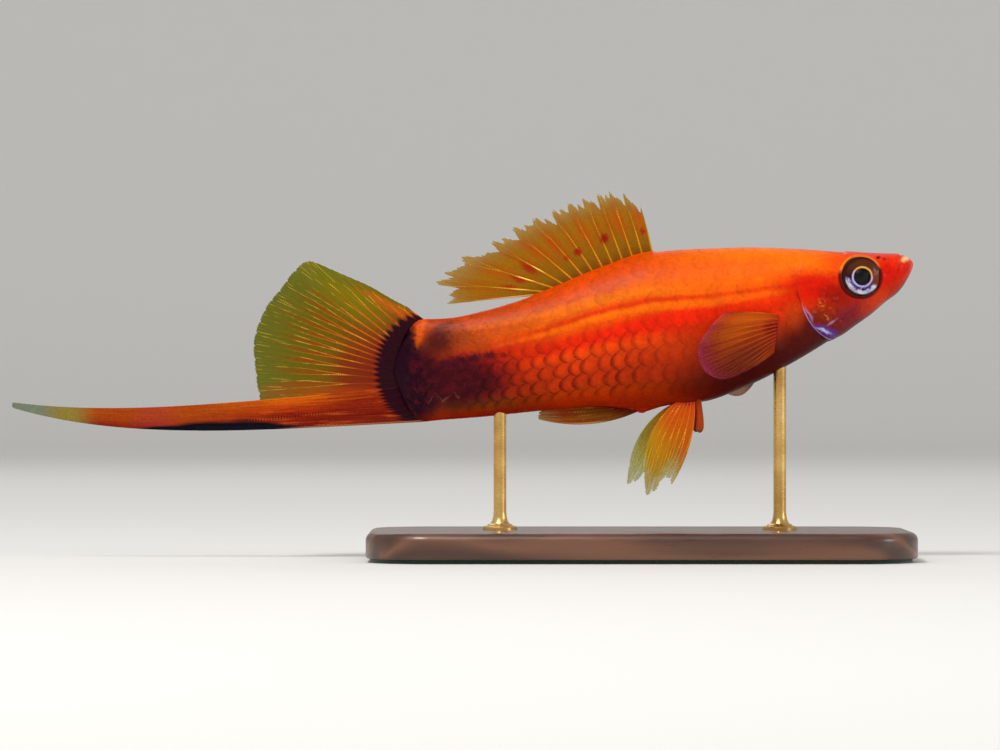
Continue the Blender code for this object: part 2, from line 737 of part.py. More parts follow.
def build_stand():
    """The board, and two rods that end inside the fish."""
    stand_base()
    for x, word in ((ROD_FRONT_X, "front"), (ROD_REAR_X, "rear")):
        bottom, y = BASE_THICK + GAP, bend(x)
        rod = upright_bar("rod", x, y, bottom, BELLY(x) + ROD_DEEP, ROD_RADIUS)
        finish(rod, f"stand_rod_{word}", "stand_rod", (x, y, bottom), bent=False)


for leftover in list(bpy.data.objects):
    bpy.data.objects.remove(leftover)
PARTS = bpy.data.collections.new("swordtail")
WORK = bpy.data.collections.new("work")
bpy.context.scene.collection.children.link(PARTS)
bpy.context.scene.collection.children.link(WORK)
HOLDER = bpy.data.objects.new("swordtail_holder", None)
PARTS.objects.link(HOLDER)
build_head()
build_trunk()
dorsal_fin()
tail_fin()
tail_sword()
anal_fin()
pelvic_fin(-1, "right", 0, 11)
pelvic_fin(1, "left", 12, 13)
pectoral_fin(-1, "right", 0, 14)
pectoral_fin(1, "left", 28, 28)
build_stand()
bpy.data.collections.remove(WORK)
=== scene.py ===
"""The finished look of a male swordtail on its display stand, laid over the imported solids.

Lengths in this file are millimetres in the fish's own frame: x runs to the nose, y to its left side
and z up. They become metres where a mesh is made. Colours are display values from 0 to 255.
"""

import math

import bmesh
import bpy
import numpy as np
from mathutils import Matrix, Vector


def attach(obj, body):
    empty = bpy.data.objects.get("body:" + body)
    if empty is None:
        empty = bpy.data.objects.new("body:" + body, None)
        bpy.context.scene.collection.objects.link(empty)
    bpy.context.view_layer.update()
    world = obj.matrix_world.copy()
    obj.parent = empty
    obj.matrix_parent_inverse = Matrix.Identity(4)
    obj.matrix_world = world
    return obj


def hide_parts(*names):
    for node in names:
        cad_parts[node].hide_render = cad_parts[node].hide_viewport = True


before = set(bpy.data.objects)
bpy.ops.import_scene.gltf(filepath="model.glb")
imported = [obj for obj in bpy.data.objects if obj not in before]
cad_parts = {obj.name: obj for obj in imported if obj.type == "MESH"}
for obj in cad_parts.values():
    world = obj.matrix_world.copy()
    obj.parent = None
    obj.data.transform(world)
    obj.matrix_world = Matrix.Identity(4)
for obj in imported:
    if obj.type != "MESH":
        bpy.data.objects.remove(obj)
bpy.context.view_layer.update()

MM = 0.001

# The body's upright sections: station x, height of the back, height of the belly, half width.
SECTIONS = (
    (-27.30, 24.60, 17.20, 0.45),
    (-24.75, 26.73, 14.96, 1.20),
    (-22.00, 26.68, 15.20, 1.70),
    (-17.60, 27.50, 15.53, 2.25),
    (-11.00, 29.54, 16.20, 3.00),
    (-4.40, 32.25, 16.70, 3.75),
    (1.10, 34.02, 16.83, 4.25),
    (6.60, 34.45, 17.15, 4.55),
    (12.10, 34.62, 19.03, 4.60),
    (17.60, 34.43, 21.90, 4.35),
    (22.00, 34.10, 24.64, 3.85),
    (25.30, 33.87, 26.84, 3.35),
    (27.50, 33.80, 28.66, 2.95),
    (28.93, 33.77, 29.50, 2.74),
    (30.14, 33.74, 30.80, 2.55),
)
TAIL_TURN, TAIL_END, TAIL_LEVEL, TAIL_UP = -23.65, -27.25, 20.9, 5.94
NOSE_TURN, NOSE_END, NOSE_LEVEL = 27.50, 30.14, 32.5
BEND_START, BEND_STRENGTH, BEND_EASE = -5.0, 0.045, 10.0
MARGIN_X, MARGIN_Z, MARGIN_ACROSS, MARGIN_UP = 22.2, 30.5, 5.06, 6.6
GAPE = ((29.10, 34.65), (28.80, 33.40), (28.27, 31.35), (26.84, 27.94), (26.84, 26.20))
NOSTRILS = ((26.1, 33.25), (26.8, 33.1))
EYE_X, EYE_Y, EYE_Z, EYE_WIDE, EYE_DEEP, EYE_TURN = 24.05, 2.55, 31.1, 2.2, 1.5, 9.0

SKIN_SIDES = 192
UNDER_SCALES, UNDER_HEAD = 0.24, 0.06  # how far the skin lies inside the solids
SCALE_ROWS, SCALE_PITCH, SCALE_RISE = 20, 1.60, 0.050
GIRTH, RUN, START = 38.0, 60.0, -30.0  # the flat sheet that scales are laid out on

DORSAL_FRONT, DORSAL_REAR = 1.32, -11.85
SWORD_TIP_X, SWORD_TIP_Z, SWORD_TIP_HIGH = -69.3, 17.04, 0.5
SWORD_CURL_TOP, SWORD_CURL_LOW = 6.5, 10.1
PELVIC_X, PELVIC_Y, PELVIC_ROOT = 4.9, 1.05, 2.1
PECTORAL_X, PECTORAL_Z = 14.96, 26.84

BASE_LONG, BASE_WIDE, BASE_THICK, BASE_CORNER = 60.0, 30.0, 3.3, 7.0
ROD_RADIUS, ROD_FRONT_X, ROD_REAR_X = 0.7, 15.4, -15.4


# ---------------------------------------------------------------- shapes


def smooth_curve(xs, ys):
    """A function that runs smoothly through the points and never overshoots them."""
    xs, ys = np.asarray(xs, float), np.asarray(ys, float)
    steps = np.diff(xs)
    rises = np.diff(ys) / steps
    slopes = np.zeros(len(xs))
    slopes[0], slopes[-1] = rises[0], rises[-1]
    for i in range(1, len(xs) - 1):
        before, after = rises[i - 1], rises[i]
        if before * after > 0:
            first, second = 2 * steps[i] + steps[i - 1], steps[i] + 2 * steps[i - 1]
            slopes[i] = (first + second) / (first / before + second / after)

    def value(x):
        x = np.clip(x, xs[0], xs[-1])
        i = np.clip(np.searchsorted(xs, x, side="right") - 1, 0, len(xs) - 2)
        t = (x - xs[i]) / steps[i]
        return (
            (1 + 2 * t) * (1 - t) ** 2 * ys[i]
            + t * (1 - t) ** 2 * steps[i] * slopes[i]
            + t * t * (3 - 2 * t) * ys[i + 1]
            + t * t * (t - 1) * steps[i] * slopes[i + 1]
        )

    return value


STATIONS, BACKS, BELLIES, HALVES = zip(*SECTIONS)
BACK = smooth_curve(STATIONS, BACKS)
BELLY = smooth_curve(STATIONS, BELLIES)
HALF = smooth_curve(STATIONS, HALVES)
WIDEST = smooth_curve((-27, -10, 10, 22, 30), (0.50, 0.50, 0.54, 0.56, 0.55))
TOP_POWER = smooth_curve((-27, -5, 12, 22, 30), (2.0, 2.0, 2.2, 2.7, 2.5))
LOW_POWER = smooth_curve((-27, 0, 12, 22, 30), (2.0, 2.0, 1.9, 1.85, 2.1))


def ease(value, start, end):
    """0 before start, 1 after end and a smooth step between."""
    t = np.clip((value - start) / (end - start), 0, 1)
    return t * t * (3 - 2 * t)


def bump(value, centre, width):
    return np.exp(-(((value - centre) / width) ** 2))


def body_at(x):
    """Height of the back, height of the belly and half width at a station."""
    back, belly, half = BACK(x), BELLY(x), HALF(x)
    nose = np.sqrt(1 - np.clip((x - NOSE_TURN) / (NOSE_END - NOSE_TURN), 0, 1) ** 2)
    tail = np.sqrt(1 - np.clip((TAIL_TURN - x) / (TAIL_TURN - TAIL_END), 0, 1) ** 2)
    back = NOSE_LEVEL + (back - NOSE_LEVEL) * nose
    belly = NOSE_LEVEL + (belly - NOSE_LEVEL) * nose
    back = TAIL_LEVEL + (back - TAIL_LEVEL) * tail
    belly = TAIL_LEVEL + (belly - TAIL_LEVEL) * tail
    return back, belly, half * nose


def body_point(x, turn):
    """Points of the body's skin; turn is 0 at the back and grows towards the left side."""
    back, belly, half = body_at(x)
    middle = belly + WIDEST(x) * (back - belly)
    across, up = np.sin(turn), np.cos(turn)
    power = np.where(up > 0, 2 / TOP_POWER(x), 2 / LOW_POWER(x))
    reach = np.where(up > 0, back - middle, middle - belly)
    y = half * np.sign(across) * np.abs(across) ** power
    z = middle + reach * np.sign(up) * np.abs(up) ** power
    return np.stack(np.broadcast_arrays(x, y, z), -1)


def body_side(x, z):
    """Half width of the body at a height."""
    back, belly, half = body_at(x)
    middle = belly + WIDEST(x) * (back - belly)
    power = TOP_POWER(x) if z > middle else LOW_POWER(x)
    reach = back - middle if z > middle else middle - belly
    return float(half * (1 - min(abs(z - middle) / reach, 1.0) ** power) ** (1 / power))


def bend(x):
    """How far the fish's length has swung towards its left side at a station."""
    behind = np.maximum(BEND_START - x, 0)
    return BEND_STRENGTH * behind**2 / (behind + BEND_EASE)


def bent(points):
    points = np.array(points, float)
    points[..., 1] += bend(points[..., 0])
    return points


def skin_turns(count):
    """Turns that share out a cross-section's outline evenly, from the belly up the right side."""
    fine = np.linspace(-math.pi, math.pi, 4001)
    ring = body_point(np.full(len(fine), 2.0), fine)
    run = np.append(0, np.cumsum(np.linalg.norm(np.diff(ring, axis=0), axis=1)))
    return np.interp(np.linspace(0, run[-1], count + 1), run, fine)


def margin_line(z):
    """x of the gill covers' rear edge at a height."""
    return MARGIN_X - MARGIN_ACROSS * np.sqrt(np.maximum(1 - ((z - MARGIN_Z) / MARGIN_UP) ** 2, 0))


def gape_line(z):
    xs, zs = zip(*GAPE[::-1])
    return np.interp(z, zs, xs)


def followed(line, turns, x):
    """Where a line drawn on the side of the head crosses each turn of the skin."""
    x = np.full(len(turns), float(x))
    for _ in range(12):
        x = 0.5 * x + 0.5 * line(body_point(x, turns)[:, 2])
    return x


def mesh_object(name, points, faces, corners=None, facts=(), uv="OFBake"):
    """A smooth mesh from points in millimetres, with a flat layout and facts kept at its points."""
    mesh = bpy.data.meshes.new(name)
    mesh.from_pydata((np.asarray(points, float).reshape(-1, 3) * MM).tolist(), [], faces)
    if corners is not None:
        layer = mesh.uv_layers.new(name=uv)
        layer.data.foreach_set("uv", np.asarray(corners, np.float32).ravel())
    for key, values in facts:
        fact = mesh.attributes.new(key, "FLOAT_VECTOR", "POINT")
        fact.data.foreach_set("vector", np.asarray(values, np.float32).ravel())
    mesh.validate()
    mesh.shade_smooth()
    obj = bpy.data.objects.new(name, mesh)
    bpy.context.scene.collection.objects.link(obj)
    return obj


def round_mesh(name, rings, along, facts=(), uv="OFBake"):
    """A closed surface from rings of points, with a pole at each end."""
    count, sides = rings.shape[:2]
    first, last = count * sides, count * sides + 1
    points = np.concatenate([rings.reshape(-1, 3), [rings[0].mean(0), rings[-1].mean(0)]])
    faces, corners = [], []
    for i in range(count - 1):
        for k in range(sides):
            j = (k + 1) % sides
            faces.append((i * sides + k, (i + 1) * sides + k, (i + 1) * sides + j, i * sides + j))
            low, high = k / sides, (k + 1) / sides
            corners += [(along[i], low), (along[i + 1], low), (along[i + 1], high), (along[i], high)]
    for k in range(sides):
        j = (k + 1) % sides
        low, high = k / sides, (k + 1) / sides
        faces.append((first, k, j))
        corners += [(along[0] - 0.004, low), (along[0], low), (along[0], high)]
        end = (count - 1) * sides
        faces.append((last, end + j, end + k))
        corners += [(along[-1] + 0.004, high), (along[-1], high), (along[-1], low)]
    widened = []
    for key, values in facts:
        values = np.asarray(values, float)
        ends = [values[0].mean(0), values[-1].mean(0)]
        widened.append((key, np.concatenate([values.reshape(-1, 3), ends])))
    return mesh_object(name, points, faces, corners, widened, uv)


def facing(grid):
    """Outward normals of a ring grid."""
    around = np.roll(grid, -1, axis=1) - np.roll(grid, 1, axis=1)
    along = np.gradient(grid, axis=0)
    out = np.cross(along, around)
    return out / np.maximum(np.linalg.norm(out, axis=-1, keepdims=True), 1e-9)


# ---------------------------------------------------------------- skin


def skin_rings():
    """Nominal stations of the skin's rings, crowded along the gill margin and the gape."""
    tail = [TAIL_TURN + (TAIL_END - TAIL_TURN) * math.sin(a) for a in np.linspace(1.5, 0.1, 12)]
    gill = MARGIN_X - MARGIN_ACROSS
    edge = (-0.62, -0.5, -0.4, -0.3, -0.22, -0.15, -0.08, -0.02, 0.04, 0.1, 0.17, 0.26, 0.38, 0.52, 0.7)
    lips = (-0.75, -0.62, -0.52, -0.43, -0.35, -0.27, -0.2, -0.15, -0.1, -0.03, 0.05, 0.13, 0.22, 0.33, 0.45)
    run = NOSE_END - NOSE_TURN
    nose = [NOSE_TURN + run * math.sin(a) for a in np.linspace(0.585, 1.5, 15)]
    return np.array(
        tail
        + list(np.linspace(TAIL_TURN, 10.0, 85))
        + list(np.linspace(10.35, 16.4, 18))
        + [gill + e for e in edge]
        + list(np.linspace(17.97, 27.45, 78))
        + [28.3 + e for e in lips]
        + nose
    )


def skin_relief(x, y, z, ahead, lipward):
    """How far the skin stands out from the plain body: folds, edges, pits and swellings."""
    nape = ease(z, 33.0, 33.8)
    edge = (x - ahead) * (1 - nape) + 22.7 * nape
    height = -UNDER_SCALES + (UNDER_SCALES - UNDER_HEAD) * ease(x, edge - 0.5, edge + 0.1)
    flap = ease(z, 24.0, 25.2) * (1 - 0.8 * ease(z, 27.8, 30.2)) * (1 - ease(z, 32.7, 33.7))
    height += flap * 0.18 * ease(ahead, -0.02, 0.12) * (1 - ease(ahead, 0.3, 3.2))
    groove = 0.10 + 0.20 * (1 - ease(z, 27.6, 29.4))
    height -= flap * groove * ease(ahead, -0.8, -0.12) * (1 - ease(ahead, -0.05, 0.06))
    cheek = 22.9 - 2.7 * np.sqrt(np.maximum(1 - ((z - 29.0) / 3.7) ** 2, 0))
    height -= 0.10 * bump(x, cheek, 0.16) * ease(z, 25.7, 26.6) * (1 - ease(z, 31.2, 32.2))
    slit = 0.04 * ease(z, 27.9, 29.2) + 0.04 * ease(z, 31.2, 32.4)
    middle = lipward + 0.15
    height -= slit * np.exp(-((middle / 0.13) ** 2))
    lips = ease(z, 30.9, 31.9)
    height += 0.06 * lips * (bump(middle, 0.40, 0.26) + bump(middle, -0.45, 0.30))
    reach = np.hypot(x - EYE_X, z - EYE_Z)
    sides = ease(np.abs(y), 0.5, 1.0)
    height -= sides * 1.1 * (1 - ease(reach, 2.12, 2.3))
    height += sides * 0.06 * bump(reach, 2.5, 0.25)
    for pit_x, pit_z in NOSTRILS:
        height -= sides * 0.32 * np.exp(-((np.hypot(x - pit_x, z - pit_z) / 0.2) ** 4))
    height -= sides * 0.14 * np.exp(-((np.hypot(x - 27.06, z - 31.46) / 0.32) ** 2))
    height += 0.90 * bump(x, 0.2, 1.15) * bump(y, 0, 0.55) * (1 - ease(z, 17.6, 18.6))
    height += 0.20 * bump(y, 0, 0.4) * ease(z, 28.5, 29) * ease(x, -12.4, -11.6) * (1 - ease(x, 1.2, 2.0))
    height += 0.28 * bump(x, 5.2, 1.5) * bump(np.abs(y), PELVIC_Y, 0.45) * (1 - ease(z, 19, 20))
    lobe = ease(z, 22.4, 23.2) * (1 - ease(z, 26.7, 27.4))
    height += 0.34 * bump(x, 14.9, 0.55) * lobe
    return height


def build_skin():
    """One skin for head, covers, trunk and tail stalk."""
    turns = skin_turns(SKIN_SIDES)[:-1]
    gill = followed(margin_line, turns, 18.0)
    gape = followed(gape_line, turns, 28.3)
    nominal = skin_rings()
    knots = (-40.0, 10.0, MARGIN_X - MARGIN_ACROSS, 28.3, NOSE_END)
    x = np.empty((len(nominal), len(turns)))
    for k in range(len(turns)):
        x[:, k] = np.interp(nominal, knots, (-40.0, 10.0, gill[k], gape[k], NOSE_END))
    plain = body_point(x, turns[None, :])
    back, belly, _ = body_at(x)
    y, z = plain[..., 1], plain[..., 2]
    ahead, lipward = x - gill, x - gape
    skin = plain + facing(plain) * skin_relief(x, y, z, ahead, lipward)[..., None]
    skin = bent(skin)
    height = np.clip((z - belly) / np.maximum(back - belly, 1e-6), 0, 1)
    lie = np.stack([x, height, y], -1)
    edges = np.stack([ahead, lipward, np.hypot(x - EYE_X, z - EYE_Z)], -1)
    along = (nominal - START) / RUN
    piece = round_mesh("fish_skin", skin, along, (("lie", lie), ("edges", edges)))
    piece.data.materials.append(skin_finish())
    return piece


# ---------------------------------------------------------------- scales


def scale_bed():
    """The surface that the scales' roots lie on, laid out flat by its UV map."""
    turns = skin_turns(96)[:-1]
    tail = [TAIL_TURN + (TAIL_END - TAIL_TURN) * math.sin(a) for a in np.linspace(1.5, 0.1, 10)]
    nominal = np.array(tail + list(np.linspace(TAIL_TURN, 27.0, 100)))
    x = np.repeat(nominal[:, None], len(turns), 1)
    plain = body_point(x, turns[None, :])
    y, z = plain[..., 1], plain[..., 2]
    swelling = 0.90 * bump(x, 0.2, 1.15) * bump(y, 0, 0.55) * (1 - ease(z, 17.6, 18.6))
    bed = bent(plain + facing(plain) * (swelling - UNDER_SCALES + 0.01)[..., None])
    back, belly, _ = body_at(x)
    height = np.clip((z - belly) / np.maximum(back - belly, 1e-6), 0, 1)
    return round_mesh("bed", bed, (nominal - START) / RUN, (("lie", np.stack([x, height, y], -1)),), "flat")


def scale_seats():
    """Where each scale is rooted on the flat sheet, row by row and half a step apart, and its size."""
    turns = skin_turns(SKIN_SIDES)
    gill = followed(margin_line, turns, 18.0)
    chance = np.random.default_rng(11)
    places, roots, sizes = [], [], []
    for row in range(SCALE_ROWS):
        v = (row + 0.5) / SCALE_ROWS
        limit = float(np.interp(v * SKIN_SIDES, np.arange(SKIN_SIDES + 1), gill)) + 3.3
        if abs(v - 0.5) < 0.09:
            limit = 26.0
        x = 24.9 + (0.5 * SCALE_PITCH if row % 2 else 0.0)
        while x > -23.3:
            pitch = SCALE_PITCH * (0.88 + 0.12 * float(ease(x, -24, -6)))
            if x < limit:
                rise = 1 - 0.65 * float(ease(x, -2, 16))
                places.append((x, v * GIRTH, 0.0))
                roots.append(((x - START) / RUN, v, chance.random()))
                turn = chance.uniform(0.94, 1.06)
                sizes.append((pitch / SCALE_PITCH * turn, chance.uniform(0.95, 1.05), rise))
            x -= pitch
    return mesh_object("seats", places, [], facts=(("root", roots), ("size", sizes)))


def scale_plate():
    """One scale of unit length and width: a thin domed plate with a round rear edge."""
    rows, columns = 5, 6
    points, facts = [], []
    for i in range(rows + 1):
        for k in range(columns + 1):
            s, c = i / rows, 2 * k / columns - 1
            out = s * (1 - 0.42 * abs(c) ** 2.4)
            high = s * (1 - 0.22 * abs(c) ** 3) + 0.18 * (1 - c * c) * s**0.5
            points.append((-out, 0.5 * c * (1 - 0.18 * s**4), high))
            facts.append((s, c, 1.0))
    top = lambda i, k: i * (columns + 1) + k
    low = len(points)
    for i in (0, rows):
        for k in range(columns + 1):
            x, y, z = points[top(i, k)]
            points.append((x, y, z - 0.22))
            facts.append((i / rows, 2 * k / columns - 1, 0.0))
    under = lambda end, k: low + (columns + 1) * end + k
    faces = []
    for k in range(columns):
        for i in range(rows):
            faces.append((top(i, k), top(i, k + 1), top(i + 1, k + 1), top(i + 1, k)))
        faces.append((under(0, k), under(1, k), under(1, k + 1), under(0, k + 1)))
        faces.append((top(0, k), under(0, k), under(0, k + 1), top(0, k + 1)))
        faces.append((top(rows, k + 1), under(1, k + 1), under(1, k), top(rows, k)))
    faces.append([top(i, 0) for i in range(rows + 1)] + [under(1, 0), under(0, 0)])
    faces.append([top(i, columns) for i in range(rows, -1, -1)] + [under(0, columns), under(1, columns)])
    plate = mesh_object("plate", np.array(points) / MM, faces, facts=(("plate", facts),))
    work = bmesh.new()
    work.from_mesh(plate.data)
    bmesh.ops.recalc_face_normals(work, faces=work.faces)
    for edge in work.edges:
        edge.smooth = all(max(v.index for v in face.verts) < low for face in edge.link_faces)
    work.to_mesh(plate.data)
    work.free()
    for face in plate.data.polygons:
        face.use_smooth = max(face.vertices) < low
    return plate


class Graph:
    """A node tree filled step by step; most methods return an output socket."""

    def __init__(self, tree):
        self.tree = tree

    def put(self, value, socket):
        if isinstance(value, bpy.types.NodeSocket):
            self.tree.links.new(value, socket)
        else:
            socket.default_value = value

    def add(self, kind, inputs=None, **settings):
        node = self.tree.nodes.new(kind)
        for key, value in settings.items():
            setattr(node, key, value)
        for key, value in (inputs or {}).items():
            self.put(value, node.inputs[key])
        return node

    def maths(self, operation, *values, clamp=False):
        node = self.add("ShaderNodeMath", operation=operation, use_clamp=clamp)
        for socket, value in zip(node.inputs, values):
            self.put(value, socket)
        return node.outputs[0]

    def vectors(self, operation, *values):
        node = self.add("ShaderNodeVectorMath", operation=operation)
        for socket, value in zip(node.inputs, values):
            self.put(value, socket)
        return node.outputs["Value" if operation in ("LENGTH", "DISTANCE", "DOT_PRODUCT") else "Vector"]

    def combined(self, x=0.0, y=0.0, z=0.0):
        return self.add("ShaderNodeCombineXYZ", {"X": x, "Y": y, "Z": z}).outputs[0]

    def parts(self, vector):
        return self.add("ShaderNodeSeparateXYZ", {"Vector": vector}).outputs

    def ranged(self, value, start, end, low=0.0, high=1.0, smooth=True):
        kind = "SMOOTHSTEP" if smooth else "LINEAR"
        inputs = {"Value": value, "From Min": start, "From Max": end, "To Min": low, "To Max": high}
        return self.add("ShaderNodeMapRange", inputs, interpolation_type=kind).outputs[0]


class Finish(Graph):
    """A material's nodes, with the steps that colours are mixed by."""

    def __init__(self, name, tree=None, **uniform):
        if tree is None:
            self.material = bpy.data.materials.new(name)
            self.material.use_nodes = True
            tree = self.material.node_tree
            self.shader = tree.nodes["Principled BSDF"]
            for key, value in uniform.items():
                self.shader.inputs[key.replace("_", " ")].default_value = value
        super().__init__(tree)

    def place(self):
        """The point in millimetres in the fish's frame."""
        where = self.add("ShaderNodeTexCoord").outputs["Object"]
        return self.add("ShaderNodeVectorMath", {0: where, "Scale": 1 / MM}, operation="SCALE").outputs[0]

    def fact(self, name):
        return self.parts(self.add("ShaderNodeAttribute", attribute_name=name).outputs["Vector"])

    def mixed(self, share, first, second, mode="MIX"):
        node = self.add("ShaderNodeMix", data_type="RGBA", blend_type=mode, clamp_factor=True)
        for socket, value in zip((node.inputs[0], node.inputs[6], node.inputs[7]), (share, first, second)):
            self.put(tone(*value) if isinstance(value, tuple) else value, socket)
        return node.outputs[2]

    def ramp(self, value, stops, curve="LINEAR"):
        node = self.add("ShaderNodeValToRGB", {"Fac": value})
        node.color_ramp.interpolation = curve
        marks = node.color_ramp.elements
        while len(marks) < len(stops):
            marks.new(0.5)
        for mark, (at, colour) in zip(marks, stops):
            mark.position = at
            mark.color = tone(*colour)
        return node.outputs[0]

    def levels(self, value, stops):
        """A number that changes evenly between the stops."""
        node = self.add("ShaderNodeValToRGB", {"Fac": value})
        marks = node.color_ramp.elements
        while len(marks) < len(stops):
            marks.new(0.5)
        for mark, (at, level) in zip(marks, stops):
            mark.position = at
            mark.color = (level, level, level, 1.0)
        return self.parts(node.outputs[0])[0]

    def noise(self, where, scale, detail=3.0, rough=0.55, warp=0.0):
        inputs = {"Vector": where, "Scale": scale, "Detail": detail, "Roughness": rough, "Distortion": warp}
        return self.add("ShaderNodeTexNoise", inputs).outputs[0]

    def spot(self, under, where, x, z, wide, high, turn, colour, strength=1.0, soft=0.5):
        """A soft-edged oval of another colour over what is there."""
        inputs = {
            "Vector": where,
            "Location": (x, z, 0.0),
            "Rotation": (0.0, 0.0, math.radians(turn)),
            "Scale": (wide, high, 1.0),
        }
        placed = self.add("ShaderNodeMapping", inputs, vector_type="TEXTURE").outputs[0]
        share = self.ranged(self.vectors("LENGTH", placed), 1 - soft, 1 + soft, strength, 0.0)
        return self.mixed(share, under, colour)

    def bumped(self, height, strength, distance):
        """Lights the surface as though it had this relief; distance is in millimetres."""
        inputs = {"Height": height, "Strength": strength, "Distance": distance * MM}
        normal = self.add("ShaderNodeBump", inputs).outputs[0]
        self.put(normal, self.shader.inputs["Normal"])


def tone(red, green, blue):
    """A display colour as the linear one that a shader takes."""
    values = np.array((red, green, blue)) / 255
    linear = np.where(values <= 0.04045, values / 12.92, ((values + 0.055) / 1.055) ** 2.4)
    return (*(float(v) for v in linear), 1.0)


def sized_tree(name, sizes):
    """An empty geometry tree with a mesh in and out, and its named inputs."""
    tree = bpy.data.node_groups.new(name, "GeometryNodeTree")
    tree.interface.new_socket("Geometry", in_out="INPUT", socket_type="NodeSocketGeometry")
    for key, kind in sizes:
        tree.interface.new_socket(key, in_out="INPUT", socket_type=f"NodeSocket{kind}")
    tree.interface.new_socket("Geometry", in_out="OUTPUT", socket_type="NodeSocketGeometry")
    graph = Graph(tree)
    return graph, graph.add("NodeGroupInput").outputs, graph.add("NodeGroupOutput").inputs


def shaped(obj, tree, values):
    """Runs a geometry tree on an object with these sizes and keeps the result as its mesh."""
    modifier = obj.modifiers.new(tree.name, "NODES")
    modifier.node_group = tree
    for item in tree.interface.items_tree:
        if item.in_out == "INPUT" and item.name in values:
            modifier[item.identifier] = values[item.name]
    graph = bpy.context.evaluated_depsgraph_get()
    mesh = bpy.data.meshes.new_from_object(obj.evaluated_get(graph), depsgraph=graph)
    obj.modifiers.clear()
    old, obj.data = obj.data, mesh
    bpy.data.meshes.remove(old)
    mesh.name = obj.name
    return obj


def overlapping_scales():
    """Lays a plate at every seat on the flat sheet, then wraps the sheet round the body."""
    sizes = (
        ("Seats", "Object"),
        ("Plate", "Object"),
        ("Length", "Float"),
        ("Width", "Float"),
        ("Rise", "Float"),
        ("Girth", "Float"),
        ("Run", "Float"),
        ("Start", "Float"),
        ("End", "Float"),
        ("Patch", "Float"),
        ("Material", "Material"),
    )
    g, given, out = sized_tree("overlapping_scales", sizes)
    seats = g.add("GeometryNodeObjectInfo", {"Object": given["Seats"]}).outputs["Geometry"]
    plate = g.add("GeometryNodeObjectInfo", {"Object": given["Plate"]}).outputs["Geometry"]

    def fact(name):
        node = g.add("GeometryNodeInputNamedAttribute", {"Name": name}, data_type="FLOAT_VECTOR")
        return node.outputs["Attribute"]

    size = g.vectors("MULTIPLY", fact("size"), g.combined(given["Length"], given["Width"], given["Rise"]))
    laid = g.add("GeometryNodeInstanceOnPoints", {"Points": seats, "Instance": plate, "Scale": size})
    sheet = g.add("GeometryNodeRealizeInstances", {"Geometry": laid.outputs[0]}).outputs[0]
    flat = g.parts(g.add("GeometryNodeInputPosition").outputs[0])
    u = g.maths("DIVIDE", g.maths("SUBTRACT", flat[0], given["Start"]), given["Run"])
    v = g.maths("FRACT", g.maths("DIVIDE", flat[1], given["Girth"]))
    u = g.maths("MAXIMUM", u, given["End"])
    where = g.combined(u, v)

    def sampled(value):
        inputs = {"Mesh": given["Geometry"], "Value": value, "UV Map": fact("flat"), "Sample UV": where}
        return g.add("GeometryNodeSampleUVSurface", inputs, data_type="FLOAT_VECTOR").outputs[0]

    root = g.parts(fact("root"))
    own = g.parts(fact("plate"))
    patch_u = g.maths("MULTIPLY_ADD", own[0], g.maths("MULTIPLY", given["Patch"], -1.0), root[0])
    patch_v = g.maths("MULTIPLY_ADD", own[1], g.maths("MULTIPLY", given["Patch"], 0.5), root[1])
    stored = g.add(
        "GeometryNodeStoreNamedAttribute",
        {"Geometry": sheet, "Name": "lie", "Value": sampled(fact("lie"))},
        data_type="FLOAT_VECTOR",
        domain="POINT",
    ).outputs[0]
    stored = g.add(
        "GeometryNodeStoreNamedAttribute",
        {"Geometry": stored, "Name": "OFBake", "Value": g.combined(patch_u, patch_v)},
        data_type="FLOAT2",
        domain="CORNER",
    ).outputs[0]
    place = sampled(g.add("GeometryNodeInputPosition").outputs[0])
    outwards = sampled(g.add("GeometryNodeInputNormal").outputs[0])
    lifted = g.vectors("ADD", place, g.vectors("MULTIPLY", outwards, g.combined(flat[2], flat[2], flat[2])))
    wrapped = g.add("GeometryNodeSetPosition", {"Geometry": stored, "Position": lifted}).outputs[0]
    finished = g.add("GeometryNodeSetMaterial", {"Geometry": wrapped, "Material": given["Material"]})
    g.put(finished.outputs[0], out["Geometry"])
    return g.tree


def build_scales():
    bed, seats, plate = scale_bed(), scale_seats(), scale_plate()
    values = {
        "Seats": seats,
        "Plate": plate,
        "Length": 2.2 * SCALE_PITCH * MM,
        "Width": 1.75 / SCALE_ROWS * GIRTH * MM,
        "Rise": SCALE_RISE * MM,
        "Girth": GIRTH * MM,
        "Run": RUN * MM,
        "Start": START * MM,
        "End": (TAIL_END + 0.03 - START) / RUN,
        "Patch": 0.003,
        "Material": scale_finish(),
    }
    coat = shaped(bed, overlapping_scales(), values)
    coat.name = coat.data.name = "fish_scales"
    for helper in (seats, plate):
        bpy.data.objects.remove(helper)
    return coat


# ---------------------------------------------------------------- fins


